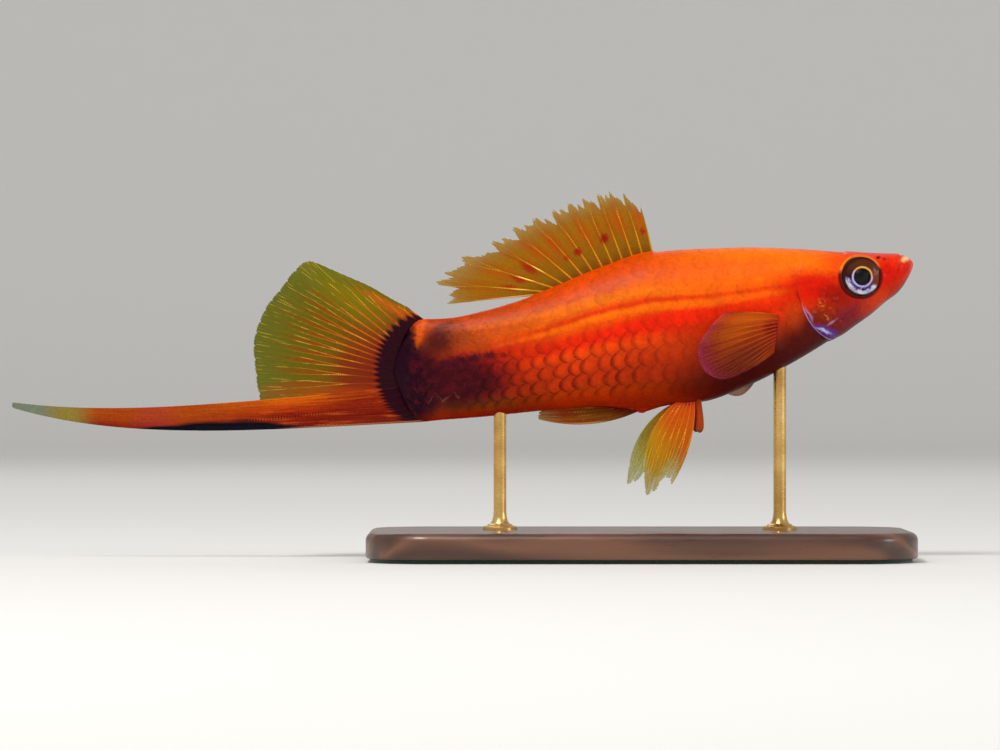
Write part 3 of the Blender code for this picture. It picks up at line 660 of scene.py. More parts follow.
def fin_shape(keys, side=-1, late=1, sink=None):
    """A fin's sheet as a function of the place from first ray to last and the share of a ray's length.

    Each key holds that place, then the ray's root, lean, flare, curl and length.
    """
    curves = [smooth_curve([k[0] for k in keys], column) for column in list(zip(*keys))[1:]]

    def point(at, s):
        at, s = np.broadcast_arrays(np.asarray(at, float), np.asarray(s, float))
        x, y, z, lean, flare, curl, length = (curve(at) for curve in curves)
        run = np.maximum(s, 0)
        turned, swing = np.radians(lean + curl * run**late / 2), np.radians(flare)
        way = np.stack(
            [-np.cos(turned) * np.cos(swing), side * np.sin(swing), np.sin(turned) * np.cos(swing)], -1
        )
        reach = way * (length * s)[..., None]
        if sink is not None:
            inwards = np.asarray(sink) * np.maximum(-s * length, 0)[..., None]
            reach = np.where((s < 0)[..., None], inwards, reach)
        return np.stack([x, y, z], -1) + reach

    point.length = curves[-1]
    return point


def fin_margin(place, notch, fork, spread, flame=0.0):
    """Share of a ray's length that the fin reaches at a place counted in rays.

    The notch lies between two rays and the fork splits a ray's own tip; a flame drops steeply behind
    each ray and swells again up to the next one.
    """
    off = np.abs(place - np.round(place)) * 2
    last = 0.75 * spread
    dips = np.where(off < last, 0.5 + 0.5 * np.cos(4 * math.pi * off / spread), 0.0)
    behind = np.mod(place + 0.06, 1.0)
    fall = ease(behind, 0.04, 0.26) * (1 - np.maximum(behind - 0.26, 0) / 0.74) ** 1.4
    uneven = 1 + 0.35 * np.sin(np.floor(place + 0.06) * 2.4)
    later = np.mod(place + 0.48 + 0.08 * np.sin(np.floor(place) * 3.7), 1.0)
    second = 0.45 * ease(later, 0.0, 0.14) * (1 - np.maximum(later - 0.14, 0) / 0.86) ** 3
    frayed = 0.42 * np.abs(np.sin(place * 9.2)) * np.abs(np.sin(place * 31.0)) * (1 - 0.7 * fall)
    drop = fall * uneven + second + frayed
    return 1 - fork * dips - notch * ease(off, 0.8 * last, 1.0) - flame * drop


def fin_web(name, point, rays, rows, finish, root_half=0.06, tip_half=0.02, notch=0.03, fork=0.0, spread=1.0, sunk=0.7, flame=0.0):
    """A fin's thin skin as one closed sheet, its rear edge notched between the rays and at their forks."""
    per_ray = 24 if flame else 16 if notch > 0.05 else 12
    columns = (rays - 1) * per_ray + 1
    at = np.linspace(0, 1, columns)
    place = at * (rays - 1)
    off = np.abs(place - np.round(place)) * 2
    share = fin_margin(place, notch, fork, spread, flame)
    s = np.linspace(0, 1, rows + 1)[None, :] ** 0.85 * share[:, None]
    start = -sunk / point.length(at)
    s = np.concatenate([start[:, None], s], 1)
    at = np.repeat(at[:, None], s.shape[1], 1)
    middle = bent(point(at, s))
    down = np.gradient(middle, axis=1)
    across = np.gradient(middle, axis=0)
    out = np.cross(down, across)
    out /= np.maximum(np.linalg.norm(out, axis=-1, keepdims=True), 1e-9)
    half = root_half + (tip_half - root_half) * np.clip(s, 0, 1)
    half = np.where(off[:, None] < 0.99, half, half * 0.8)[..., None]
    both = np.concatenate([(middle + out * half).reshape(-1, 3), (middle - out * half).reshape(-1, 3)])
    n, m = s.shape
    faces, corners = [], []

    def flat(i, j, back):
        return (0.02 + 0.46 * i / (n - 1) + 0.5 * back, 0.02 + 0.96 * j / (m - 1))

    def face(*spots):
        faces.append(tuple(back * n * m + i * m + j for i, j, back in spots))
        corners.extend(flat(*spot) for spot in spots)

    for i in range(n - 1):
        for j in range(m - 1):
            face((i, j, 0), (i, j + 1, 0), (i + 1, j + 1, 0), (i + 1, j, 0))
            face((i, j, 1), (i + 1, j, 1), (i + 1, j + 1, 1), (i, j + 1, 1))
        face((i, 0, 0), (i + 1, 0, 0), (i + 1, 0, 1), (i, 0, 1))
        face((i, m - 1, 1), (i + 1, m - 1, 1), (i + 1, m - 1, 0), (i, m - 1, 0))
    for j in range(m - 1):
        face((0, j, 1), (0, j + 1, 1), (0, j + 1, 0), (0, j, 0))
        face((n - 1, j, 0), (n - 1, j + 1, 0), (n - 1, j + 1, 1), (n - 1, j, 1))
    fact = np.stack([at, np.clip(s, 0, 1), np.repeat(off[:, None], m, 1)], -1).reshape(-1, 3)
    web = mesh_object(name, both, faces, corners, (("web", np.concatenate([fact, fact])),))
    outward(web)
    web.data.materials.append(finish)
    return web


def outward(obj):
    work = bmesh.new()
    work.from_mesh(obj.data)
    bmesh.ops.recalc_face_normals(work, faces=work.faces)
    work.to_mesh(obj.data)
    work.free()


def ray_lines(
    name, point, rays, girth, splits=(0.32, 0.62), spread=1.0, tip=0.6,
    notch=0.0, fork=0.0, sunk=0.5, step=0.17, flame=0.0,
):
    """Every ray as a line from inside the body to its tips, forking at each split."""
    points, edges, facts = [], [], []
    gap = 1 / (rays - 1)
    stages = [0.0, *splits, 1.0]
    for r in range(rays):
        strands = [0.0]
        for stage, (start, end) in enumerate(zip(stages, stages[1:])):
            last = end >= 1.0
            stop = end
            grown = []
            for strand in strands:
                start_at = np.clip(r * gap + strand * gap, 0, 1)
                begin = start - sunk / float(point.length(start_at)) if stage == 0 else start - 0.01
                run = float(point.length(start_at)) * (stop - begin)
                s = np.linspace(begin, stop, max(int(run / step), 4))
                forks = (strand,) if stage == 0 else (
                    strand - spread * 0.5 / 2**stage,
                    strand + spread * 0.5 / 2**stage,
                )
                for goal in forks:
                    if stage == 0:
                        goal = strand
                    if last:
                        stop = float(fin_margin(r + float(np.clip(goal, -0.49, 0.49)), notch, fork, spread, flame)) - 0.004
                        s = np.linspace(begin, stop, max(int(run / step), 4))
                    t = np.clip((s - begin) / (stop - begin), 0, 1)
                    at = np.clip((r + strand + (goal - strand) * t) * gap, 0, 1)
                    place = bent(point(at, s))
                    legs = np.linalg.norm(np.diff(place, axis=0), axis=1)
                    travelled = np.append(0, np.cumsum(legs)) + begin * float(point.length(start_at))
                    first = len(points)
                    points.extend(place)
                    edges += [(first + i, first + i + 1) for i in range(len(place) - 1)]
                    thin = girth * (1 - (1 - tip) * np.clip(s, 0, 1) ** 0.8) * 0.88**stage
                    facts.extend(np.stack([at, np.clip(s, 0, 1), travelled], -1))
                    grown.append((goal, thin))
                    THICK.extend(thin)
            strands = [goal for goal, _ in grown]
    mesh = bpy.data.meshes.new(name)
    mesh.from_pydata((np.array(points) * MM).tolist(), edges, [])
    ray = mesh.attributes.new("ray", "FLOAT_VECTOR", "POINT")
    ray.data.foreach_set("vector", np.asarray(facts, np.float32).ravel())
    thickness = mesh.attributes.new("thickness", "FLOAT", "POINT")
    thickness.data.foreach_set("value", np.asarray(THICK, np.float32) * MM)
    THICK.clear()
    obj = bpy.data.objects.new(name, mesh)
    bpy.context.scene.collection.objects.link(obj)
    return obj


THICK = []


def branching_rays():
    """Turns lines into jointed rays: round bars that swell at every joint of their length."""
    sizes = (("Joint", "Float"), ("Swell", "Float"), ("Sides", "Int"), ("Material", "Material"))
    g, given, out = sized_tree("branching_rays", sizes)
    lines = g.add("GeometryNodeMeshToCurve", {"Mesh": given["Geometry"]}).outputs[0]
    ring = g.add("GeometryNodeCurvePrimitiveCircle", {"Resolution": given["Sides"], "Radius": 1.0}).outputs[0]
    turn = g.maths("DIVIDE", g.add("GeometryNodeInputIndex").outputs[0], given["Sides"])
    ring = g.add(
        "GeometryNodeStoreNamedAttribute",
        {"Geometry": ring, "Name": "around", "Value": turn},
        data_type="FLOAT",
        domain="POINT",
    ).outputs[0]
    ray = g.parts(
        g.add("GeometryNodeInputNamedAttribute", {"Name": "ray"}, data_type="FLOAT_VECTOR").outputs[0]
    )
    girth = g.add("GeometryNodeInputNamedAttribute", {"Name": "thickness"}, data_type="FLOAT").outputs[0]
    wave = g.maths("SINE", g.maths("MULTIPLY", g.maths("DIVIDE", ray[2], given["Joint"]), 2 * math.pi))
    swollen = g.maths("MULTIPLY", girth, g.maths("MULTIPLY_ADD", wave, given["Swell"], 1.0))
    bars = g.add(
        "GeometryNodeCurveToMesh",
        {"Curve": lines, "Profile Curve": ring, "Scale": swollen, "Fill Caps": True},
    ).outputs[0]
    around = g.add("GeometryNodeInputNamedAttribute", {"Name": "around"}, data_type="FLOAT").outputs[0]
    half_turn = g.maths("ABSOLUTE", g.maths("SUBTRACT", around, 0.5))
    u = g.maths("MULTIPLY_ADD", half_turn, 0.012, g.maths("MULTIPLY_ADD", ray[0], 0.97, 0.01))
    bars = g.add(
        "GeometryNodeStoreNamedAttribute",
        {"Geometry": bars, "Name": "OFBake", "Value": g.combined(u, ray[1])},
        data_type="FLOAT2",
        domain="CORNER",
    ).outputs[0]
    smooth = g.add("GeometryNodeSetShadeSmooth", {"Geometry": bars}).outputs[0]
    whole = g.add("GeometryNodeRealizeInstances", {"Geometry": smooth}).outputs[0]
    finished = g.add("GeometryNodeSetMaterial", {"Geometry": whole, "Material": given["Material"]})
    g.put(finished.outputs[0], out["Geometry"])
    return g.tree


def fin_rays(name, point, rays, girth, finish, joint=0.34, swell=0.10, sides=6, **lines):
    obj = ray_lines(name, point, rays, girth, **lines)
    values = {"Joint": joint, "Swell": swell, "Sides": sides, "Material": finish}
    return shaped(obj, RAY_TREE, values)


def dorsal_shape():
    keys = []
    for at, lean, length in (
        (0.00, 78, 5.2),
        (0.08, 74.5, 7.2),
        (0.25, 70.5, 8.1),
        (0.50, 57, 8.5),
        (0.75, 31, 9.6),
        (0.92, 5, 12.3),
        (1.00, -5, 9.6),
    ):
        x = DORSAL_FRONT + (DORSAL_REAR - DORSAL_FRONT) * at
        keys.append((at, x, 0.0, float(BACK(x)) - 0.1, lean, 0.0, -4.0 + 2.0 * at, length))
    return fin_shape(keys)


def tail_root(turn):
    a = math.radians(turn)
    return TAIL_TURN + (TAIL_END - TAIL_TURN) * math.cos(a), TAIL_LEVEL + TAIL_UP * math.sin(a)


def tail_shape():
    keys = []
    for at, turn, lean, length in (
        (0.00, 80.0, 38.0, 1.9),
        (0.06, 72.0, 40.0, 3.5),
        (0.12, 62.0, 42.0, 6.0),
        (0.20, 46.0, 42.0, 9.9),
        (0.28, 34.0, 41.0, 13.3),
        (0.36, 27.0, 35.0, 14.0),
        (0.44, 21.0, 30.0, 14.3),
        (0.60, 10.0, 21.0, 15.3),
        (0.76, -1.0, 12.2, 15.7),
        (0.88, -10.0, 4.6, 15.3),
        (1.00, -20.0, -6.0, 14.9),
    ):
        x, z = tail_root(turn)
        keys.append((at, x, 0.0, z, lean, 0.0, 0.0, length))
    return fin_shape(keys)


def sword_shape():
    keys = []
    for at in (0.0, 0.25, 0.5, 0.75, 1.0):
        x, z = tail_root(-20.3 - 66.7 * at)
        z += 0.36 * at**3
        tip_z = SWORD_TIP_Z + SWORD_TIP_HIGH * (0.5 - at)
        lean = math.degrees(math.atan2(tip_z - z, x - SWORD_TIP_X))
        curl = SWORD_CURL_TOP + (SWORD_CURL_LOW - SWORD_CURL_TOP) * at
        length = math.hypot(x - SWORD_TIP_X, tip_z - z)
        keys.append((at, x, 0.0, z, lean - curl / 2, 0.0, curl, length))
    return fin_shape(keys, late=3, sink=(0.8, 0.0, 0.6))


def anal_shape():
    keys = (
        (0.0, -0.4, 0.0, 16.40, -24.5, 0.0, 40.0, 10.8),
        (0.5, -1.9, 0.0, 16.60, -14.2, 0.0, 19.4, 9.3),
        (1.0, -3.4, 0.0, 16.85, -2.4, 0.0, 0.0, 7.6),
    )
    return fin_shape(keys)


def pelvic_shape(side, turn_back, flare):
    keys = []
    for at, lean, curl, length in (
        (0.00, -92, 36, 9.5),
        (0.17, -82, 20, 8.8),
        (0.33, -73, 4, 9.0),
        (0.50, -66, -10, 10.3),
        (0.67, -57, -24, 11.0),
        (0.83, -50, -35, 9.9),
        (1.00, -38, -51, 7.9),
    ):
        x = PELVIC_X + PELVIC_ROOT * (0.5 - at)
        keys.append((at, x, side * PELVIC_Y, float(BELLY(x)) + 0.25, lean + turn_back, flare, curl, length))
    return fin_shape(keys, side)


def pectoral_shape(side, turn_down, flare):
    rays = (
        (12, -20, 6.2),
        (-4, -10, 8.1),
        (-11, -4, 9.0),
        (-18, -2, 9.4),
        (-25, 0, 9.2),
        (-31, 2, 8.5),
        (-37, 4, 7.2),
        (-41, 6, 4.9),
        (-42, 6, 2.4),
    )
    keys = []
    for i, (lean, curl, length) in enumerate(rays):
        at = i / (len(rays) - 1)
        x, z = PECTORAL_X - 0.44 * at, PECTORAL_Z - 3.96 * at
        y = side * (body_side(x, z) + 0.3)
        keys.append((at, x, y, z, lean - turn_down, flare, curl, length))
    return fin_shape(keys, side, sink=(0.35, -side * 1.6, 0.15))


def tube(name, path, radii, sides, finish):
    """A round tapering bar along a path, closed at both ends."""
    path, radii = np.asarray(path, float), np.asarray(radii, float)
    along = np.gradient(path, axis=0)
    along /= np.linalg.norm(along, axis=1, keepdims=True)
    across = np.cross(along, (0.0, 1.0, 0.02))
    across /= np.linalg.norm(across, axis=1, keepdims=True)
    third = np.cross(along, across)
    a = np.arange(sides) * 2 * math.pi / sides
    rings = path[:, None] + radii[:, None, None] * (
        np.cos(a)[None, :, None] * across[:, None] + np.sin(a)[None, :, None] * third[:, None]
    )
    share = np.linspace(0.02, 0.98, len(path))
    fact = np.zeros((len(path), sides, 3))
    fact[..., 1] = np.linspace(0, 1, len(path))[:, None]
    obj = round_mesh(name, rings, share, (("web", fact),))
    outward(obj)
    obj.data.materials.append(finish)
    return obj


def pelvic_lobe(side, word, turn_back, flare, finish):
    """The fleshy finger in front of a pelvic fin."""
    top = np.array((PELVIC_X + PELVIC_ROOT / 2 + 0.5, side * PELVIC_Y, float(BELLY(PELVIC_X))))
    lean, swing = math.radians(-88 + turn_back / 2), math.radians(flare)
    way = np.array(
        (-math.cos(lean) * math.cos(swing), side * math.sin(swing), math.sin(lean) * math.cos(swing))
    )
    s = np.append(np.linspace(-0.25, 0.8, 18), 0.8 + 0.2 * np.sin(np.linspace(0.12, 1.5, 12)))
    path = top + way * (3.05 * s)[:, None]
    path[:, 0] += 0.10 * np.sin(s * math.pi) + 0.16 * s
    radii = 0.42 * np.sqrt(np.clip(1 - np.maximum((s - 0.80) / 0.202, 0) ** 2, 0.01, 1))
    radii *= 0.80 + 0.20 * ease(s, 0.1, 0.8)
    return tube(f"pelvic_lobe_{word}", path, radii, 20, finish)


# ---------------------------------------------------------------- eyes


def eye_surface(name, side, radius, depth, rings=48, sides=72):
    """A closed round form facing out of the head's side; radius and depth run from the front pole back."""
    count = len(radius)
    a = np.arange(sides) * 2 * math.pi / sides
    flat = np.stack([np.cos(a), np.zeros(sides), np.sin(a)], -1)
    points = np.asarray(radius)[:, None, None] * flat[None]
    points[..., 1] = side * np.asarray(depth)[:, None]
    turn = Matrix.Rotation(math.radians(-side * EYE_TURN), 3, "Z")
    points = points.reshape(-1, 3) @ np.array(turn).T + np.array((EYE_X, side * EYE_Y, EYE_Z))
    obj = round_mesh(name, points.reshape(count, sides, 3), np.linspace(0.02, 0.98, count))
    outward(obj)
    return obj


def build_eye(side, word):
    """A painted eyeball with a sunken iris and a black lens, under a clear cornea."""
    wide, deep = EYE_WIDE, EYE_DEEP - 0.03
    white = [(wide * math.sin(a), deep * math.cos(a)) for a in np.linspace(1.35, 2.9, 22)]
    iris = [(r, 0.98 - 0.16 * (r - 1.0) ** 2) for r in np.linspace(1.0, 2.18, 22)]
    lens = [(0.97 * math.sin(a), 0.78 + 0.52 * math.cos(a)) for a in np.linspace(0.05, 1.30, 16)]
    radius, depth = zip(*(lens + iris + white))
    ball = eye_surface(f"eyeball_{word}", side, radius, depth)
    ball.data.materials.append(eye_finish())
    dome = [(r, 0.86 + 0.60 * (1 - (r / 2.2) ** 2)) for r in np.linspace(0.04, 2.19, 30)]
    shell, inner = dome, [(r - 0.01, depth - 0.04) for r, depth in dome[::-1]]
    radius, depth = zip(*(shell + inner))
    cornea = eye_surface(f"cornea_{word}", side, radius, depth)
    cornea.data.materials.append(cornea_finish())
    return ball, cornea


def eye_rim(side, word):
    """The low fold of skin round an eye."""
    sides, around = 96, 14
    rings = []
    for a in np.arange(sides) * 2 * math.pi / sides:
        x, z = EYE_X + 0.03 + 2.24 * math.cos(a), EYE_Z + 0.07 + 2.30 * math.sin(a)
        middle = np.array((x, side * (body_side(x, z) - 0.12), z))
        outwards = np.array((math.cos(a), 0.0, math.sin(a)))
        up = np.array((0.16, side * 1.0, 0.0))
        b = np.arange(around) * 2 * math.pi / around
        rings.append(middle + 0.16 * (np.cos(b)[:, None] * outwards + np.sin(b)[:, None] * up))
    rings = np.array(rings)
    points = rings.reshape(-1, 3)
    faces, corners = [], []
    for i in range(sides):
        for k in range(around):
            j, n = (i + 1) % sides, (k + 1) % around
            faces.append((i * around + k, j * around + k, j * around + n, i * around + n))
            u, v = 0.02 + 0.96 * i / sides, 0.02 + 0.96 * k / around
            corners += [(u, v), (u + 0.01, v), (u + 0.01, v + 0.06), (u, v + 0.06)]
    x, z = points[:, 0], points[:, 2]
    back, belly, _ = body_at(x)
    lie = np.stack([x, (z - belly) / (back - belly), points[:, 1]], -1)
    edges = np.stack([x - 17.0, x - 29.0, np.hypot(x - EYE_X, z - EYE_Z)], -1)
    rim = mesh_object(f"eye_rim_{word}", points, faces, corners, (("lie", lie), ("edges", edges)))
    outward(rim)
    rim.data.materials.append(skin_finish())
    return rim


# ---------------------------------------------------------------- finishes

TRUNK_TONES = (
    (0.00, (190, 44, 2)),
    (0.06, (194, 50, 2)),
    (0.13, (186, 56, 2)),
    (0.20, (184, 46, 2)),
    (0.32, (200, 52, 2)),
    (0.42, (220, 62, 2)),
    (0.50, (216, 34, 0)),
    (0.55, (220, 46, 0)),
    (0.60, (230, 76, 0)),
    (0.645, (238, 98, 0)),
    (0.675, (218, 60, 0)),
    (0.70, (220, 74, 0)),
    (0.74, (230, 102, 0)),
    (0.84, (214, 74, 0)),
    (0.93, (216, 70, 0)),
    (1.00, (218, 70, 0)),
)
FRONT_TONES = (
    (0.00, (70, 10, 10)),
    (0.10, (88, 16, 6)),
    (0.22, (124, 30, 2)),
    (0.36, (176, 46, 2)),
    (0.46, (212, 46, 0)),
    (0.56, (228, 40, 0)),
    (0.66, (236, 74, 0)),
    (0.76, (250, 100, 0)),
    (0.88, (246, 98, 0)),
    (0.96, (246, 112, 6)),
    (1.00, (240, 110, 20)),
)
HEAD_TONES = (
    (0.00, (92, 10, 36)),
    (0.05, (120, 20, 34)),
    (0.13, (172, 38, 10)),
    (0.28, (212, 48, 4)),
    (0.50, (222, 30, 0)),
    (0.70, (226, 30, 0)),
    (0.85, (234, 52, 6)),
    (0.95, (226, 58, 26)),
    (1.00, (206, 60, 70)),
)
REAR_TONES = (
    (0.00, (168, 30, 2)),
    (0.08, (148, 46, 2)),
    (0.22, (152, 38, 0)),
    (0.42, (176, 36, 0)),
    (0.60, (192, 38, 0)),
    (0.72, (204, 78, 0)),
    (0.84, (196, 72, 0)),
    (1.00, (188, 60, 0)),
)
# Stripes along the flank as x, share of height, half length, half width, turn, colour, strength, softness.
STRIPES = (
    (2.5, 0.550, 9.5, 0.052, 0.42, (232, 34, 2), 0.9, 0.6),
    (-6.0, 0.780, 13.0, 0.030, -0.34, (240, 116, 8), 0.5, 0.7),
    (4.0, 0.640, 14.0, 0.026, 0.0, (250, 112, 2), 0.6, 0.8),
    (3.0, 0.682, 16.0, 0.015, 0.0, (214, 40, 2), 0.6, 0.9),
    # Painted shade along the underside of the breast.
    (13.0, 0.12, 7.0, 0.12, 0.0, (74, 14, 14), 0.75, 0.7),
)
# Spots on the head and the tail stalk as x, z, half width, half height, turn, colour, strength, softness.
SPOTS = (
    (18.0, 32.9, 3.2, 1.5, 0, (255, 112, 0), 0.8, 0.7),
    (21.4, 33.0, 1.7, 0.9, 0, (232, 60, 4), 0.6, 0.7),
    (22.5, 34.25, 5.5, 0.36, 0, (206, 70, 90), 0.55, 0.7),
    (18.9, 30.2, 3.6, 1.6, 0, (208, 8, 0), 0.9, 0.7),
    (21.7, 28.9, 1.9, 1.3, 0, (136, 16, 0), 0.75, 0.8),
    (23.2, 27.2, 2.6, 0.8, 28, (112, 26, 50), 0.7, 0.8),
    (26.0, 28.6, 1.9, 0.8, 38, (222, 62, 4), 0.75, 0.8),
    (27.1, 31.5, 1.3, 1.6, 0, (206, 18, 2), 0.85, 0.8),
    (28.3, 32.8, 0.9, 0.6, 0, (226, 44, 10), 0.7, 0.8),
    (27.0, 33.6, 2.2, 0.25, 0, (216, 70, 76), 0.5, 0.7),
    (29.6, 32.3, 0.8, 1.2, 0, (214, 34, 10), 0.8, 0.7),
    # Painted highlight on the upper lip.
    (29.12, 33.12, 0.50, 0.26, 24, (255, 214, 150), 0.85, 0.9),
    (29.95, 32.2, 0.25, 1.0, 15, (240, 120, 96), 0.5, 0.8),
    (17.9, 25.6, 2.4, 1.2, 40, (92, 18, 10), 0.75, 0.8),
    (16.8, 26.9, 1.0, 1.5, 0, (198, 66, 4), 0.6, 0.7),
    (20.35, 25.22, 1.25, 0.42, -22, (92, 62, 184), 0.85, 0.8),
    # Painted highlight on the blue patch of the gill cover.
    (20.15, 25.26, 0.70, 0.15, -20, (222, 226, 255), 0.9, 0.9),
    (18.55, 27.0, 0.75, 0.13, -62, (176, 150, 216), 0.6, 0.8),
    (21.0, 26.15, 0.50, 0.11, 35, (206, 172, 190), 0.55, 0.8),
    (20.4, 26.75, 0.42, 0.10, -48, (232, 170, 96), 0.5, 0.8),
    (-18.15, 17.2, 5.0, 0.55, 3, (120, 56, 2), 0.8, 0.6),
    (-17.05, 20.35, 2.9, 2.2, 0, (104, 8, 4), 0.75, 0.7),
    (-20.35, 19.5, 4.8, 2.7, 2, (54, 2, 14), 0.96, 0.45),
    (-21.9, 23.9, 2.5, 1.9, 30, (108, 32, 6), 0.9, 0.6),
    (-22.1, 24.2, 1.3, 1.1, 30, (62, 8, 12), 0.8, 0.7),
    (-21.6, 25.7, 1.5, 0.30, 22, (84, 26, 4), 0.5, 0.8),
    (-18.9, 24.1, 2.3, 1.1, -20, (150, 56, 4), 0.65, 0.8),
    (-24.2, 19.8, 2.2, 4.0, 0, (46, 2, 14), 0.96, 0.4),
    (-25.9, 17.05, 3.2, 1.9, 0, (26, 0, 18), 0.96, 0.4),
    (-26.9, 20.6, 2.8, 6.2, 0, (32, 0, 18), 1.0, 0.20),
    (-24.2, 25.1, 0.42, 1.5, -14, (214, 84, 2), 0.85, 0.6),
    (-25.9, 25.0, 0.95, 0.85, 0, (10, 0, 12), 0.9, 0.5),
    (-21.3, 21.5, 0.9, 0.55, 10, (30, 2, 22), 0.9, 0.7),
    (-19.8, 21.9, 0.8, 0.50, 10, (30, 2, 22), 0.9, 0.7),
    (-18.2, 22.2, 0.8, 0.46, 10, (34, 4, 22), 0.85, 0.7),
    (-16.5, 22.5, 0.7, 0.40, 0, (50, 6, 18), 0.8, 0.7),
    (-14.9, 22.6, 0.5, 0.28, 0, (84, 10, 10), 0.7, 0.7),
    (-21.4, 17.7, 0.42, 0.10, 35, (130, 90, 76), 0.4, 1.0),
    (-21.9, 17.7, 0.42, 0.10, -40, (130, 90, 76), 0.4, 1.0),
    (-20.1, 18.1, 0.36, 0.08, -40, (130, 90, 76), 0.35, 1.0),
    (-23.1, 17.6, 0.36, 0.08, 60, (130, 90, 76), 0.3, 1.0),
)


def markings_group():
    """The fish's markings, which its skin and its scales share."""
    tree = bpy.data.node_groups.new("fish_markings", "ShaderNodeTree")
    tree.interface.new_socket("Colour", in_out="OUTPUT", socket_type="NodeSocketColor")
    f = Finish("fish_markings", tree)
    x, height, _ = f.fact("lie")
    place = f.place()
    across = f.parts(place)
    waver = f.noise(place, 0.55, 3.0)
    fine = f.noise(place, 2.4, 4.0)
    high = f.maths("MULTIPLY_ADD", f.maths("SUBTRACT", waver, 0.5), 0.05, height)
    trunk = f.ramp(high, TRUNK_TONES)
    front = f.ramp(high, FRONT_TONES)
    rear = f.ramp(high, REAR_TONES)
    colour = f.mixed(f.ranged(x, -7.0, -15.0), trunk, rear)
    colour = f.mixed(f.ranged(x, -3.0, 12.0), colour, front)
    colour = f.mixed(f.ranged(x, 19.5, 24.0), colour, f.ramp(high, HEAD_TONES))
    wave = f.maths("SUBTRACT", waver, 0.5)
    lie = f.combined(f.maths("MULTIPLY_ADD", wave, 1.4, x), f.maths("MULTIPLY_ADD", wave, 0.02, height))
    for stripe in STRIPES:
        colour = f.spot(colour, lie, *stripe)
    grain = f.maths("SUBTRACT", fine, 0.5)
    grain = f.maths("MULTIPLY", grain, f.ranged(x, 10.0, 17.0, 1.0, 0.55))
    side = f.combined(
        f.maths("MULTIPLY_ADD", grain, 0.9, f.maths("MULTIPLY_ADD", wave, 0.8, across[0])),
        f.maths("MULTIPLY_ADD", grain, 0.7, f.maths("MULTIPLY_ADD", wave, 0.6, across[2])),
    )
    for spot in SPOTS:
        colour = f.spot(colour, side, *spot)
    block = f.maths("MULTIPLY", f.ranged(x, -12.5, -16.0), f.ranged(x, -26.5, -24.5))
    blotch = f.maths("MULTIPLY", f.ranged(f.noise(place, 1.3, 4.0, 0.62), 0.42, 0.64), 0.7)
    colour = f.mixed(f.maths("MULTIPLY", block, blotch), colour, (82, 11, 22), "LIGHTEN")
    upper = f.maths("MULTIPLY", f.maths("MULTIPLY", block, f.ranged(height, 0.50, 0.62)), f.ranged(x, -14.5, -18.5))
    flecks = f.maths("MULTIPLY", f.ranged(f.noise(place, 2.2, 4.0, 0.7), 0.55, 0.70), 0.6)
    colour = f.mixed(f.maths("MULTIPLY", upper, flecks), colour, (66, 14, 12))
    fibres = f.noise(f.vectors("MULTIPLY", place, (1.0, 1.0, 2.2)), 3.2, 3.0, 0.7)
    mottle = f.ranged(fine, 0.3, 0.7, 0.88, 1.10, smooth=False)
    mottle = f.maths("MULTIPLY", mottle, f.ranged(fibres, 0.3, 0.7, 0.88, 1.10, smooth=False))
    colour = f.mixed(1.0, colour, f.combined(mottle, mottle, mottle), "MULTIPLY")
    f.put(colour, f.add("NodeGroupOutput").inputs["Colour"])
    return tree


def marked(finish):
    group = finish.add("ShaderNodeGroup")
    group.node_tree = MARKINGS
    return group.outputs["Colour"]


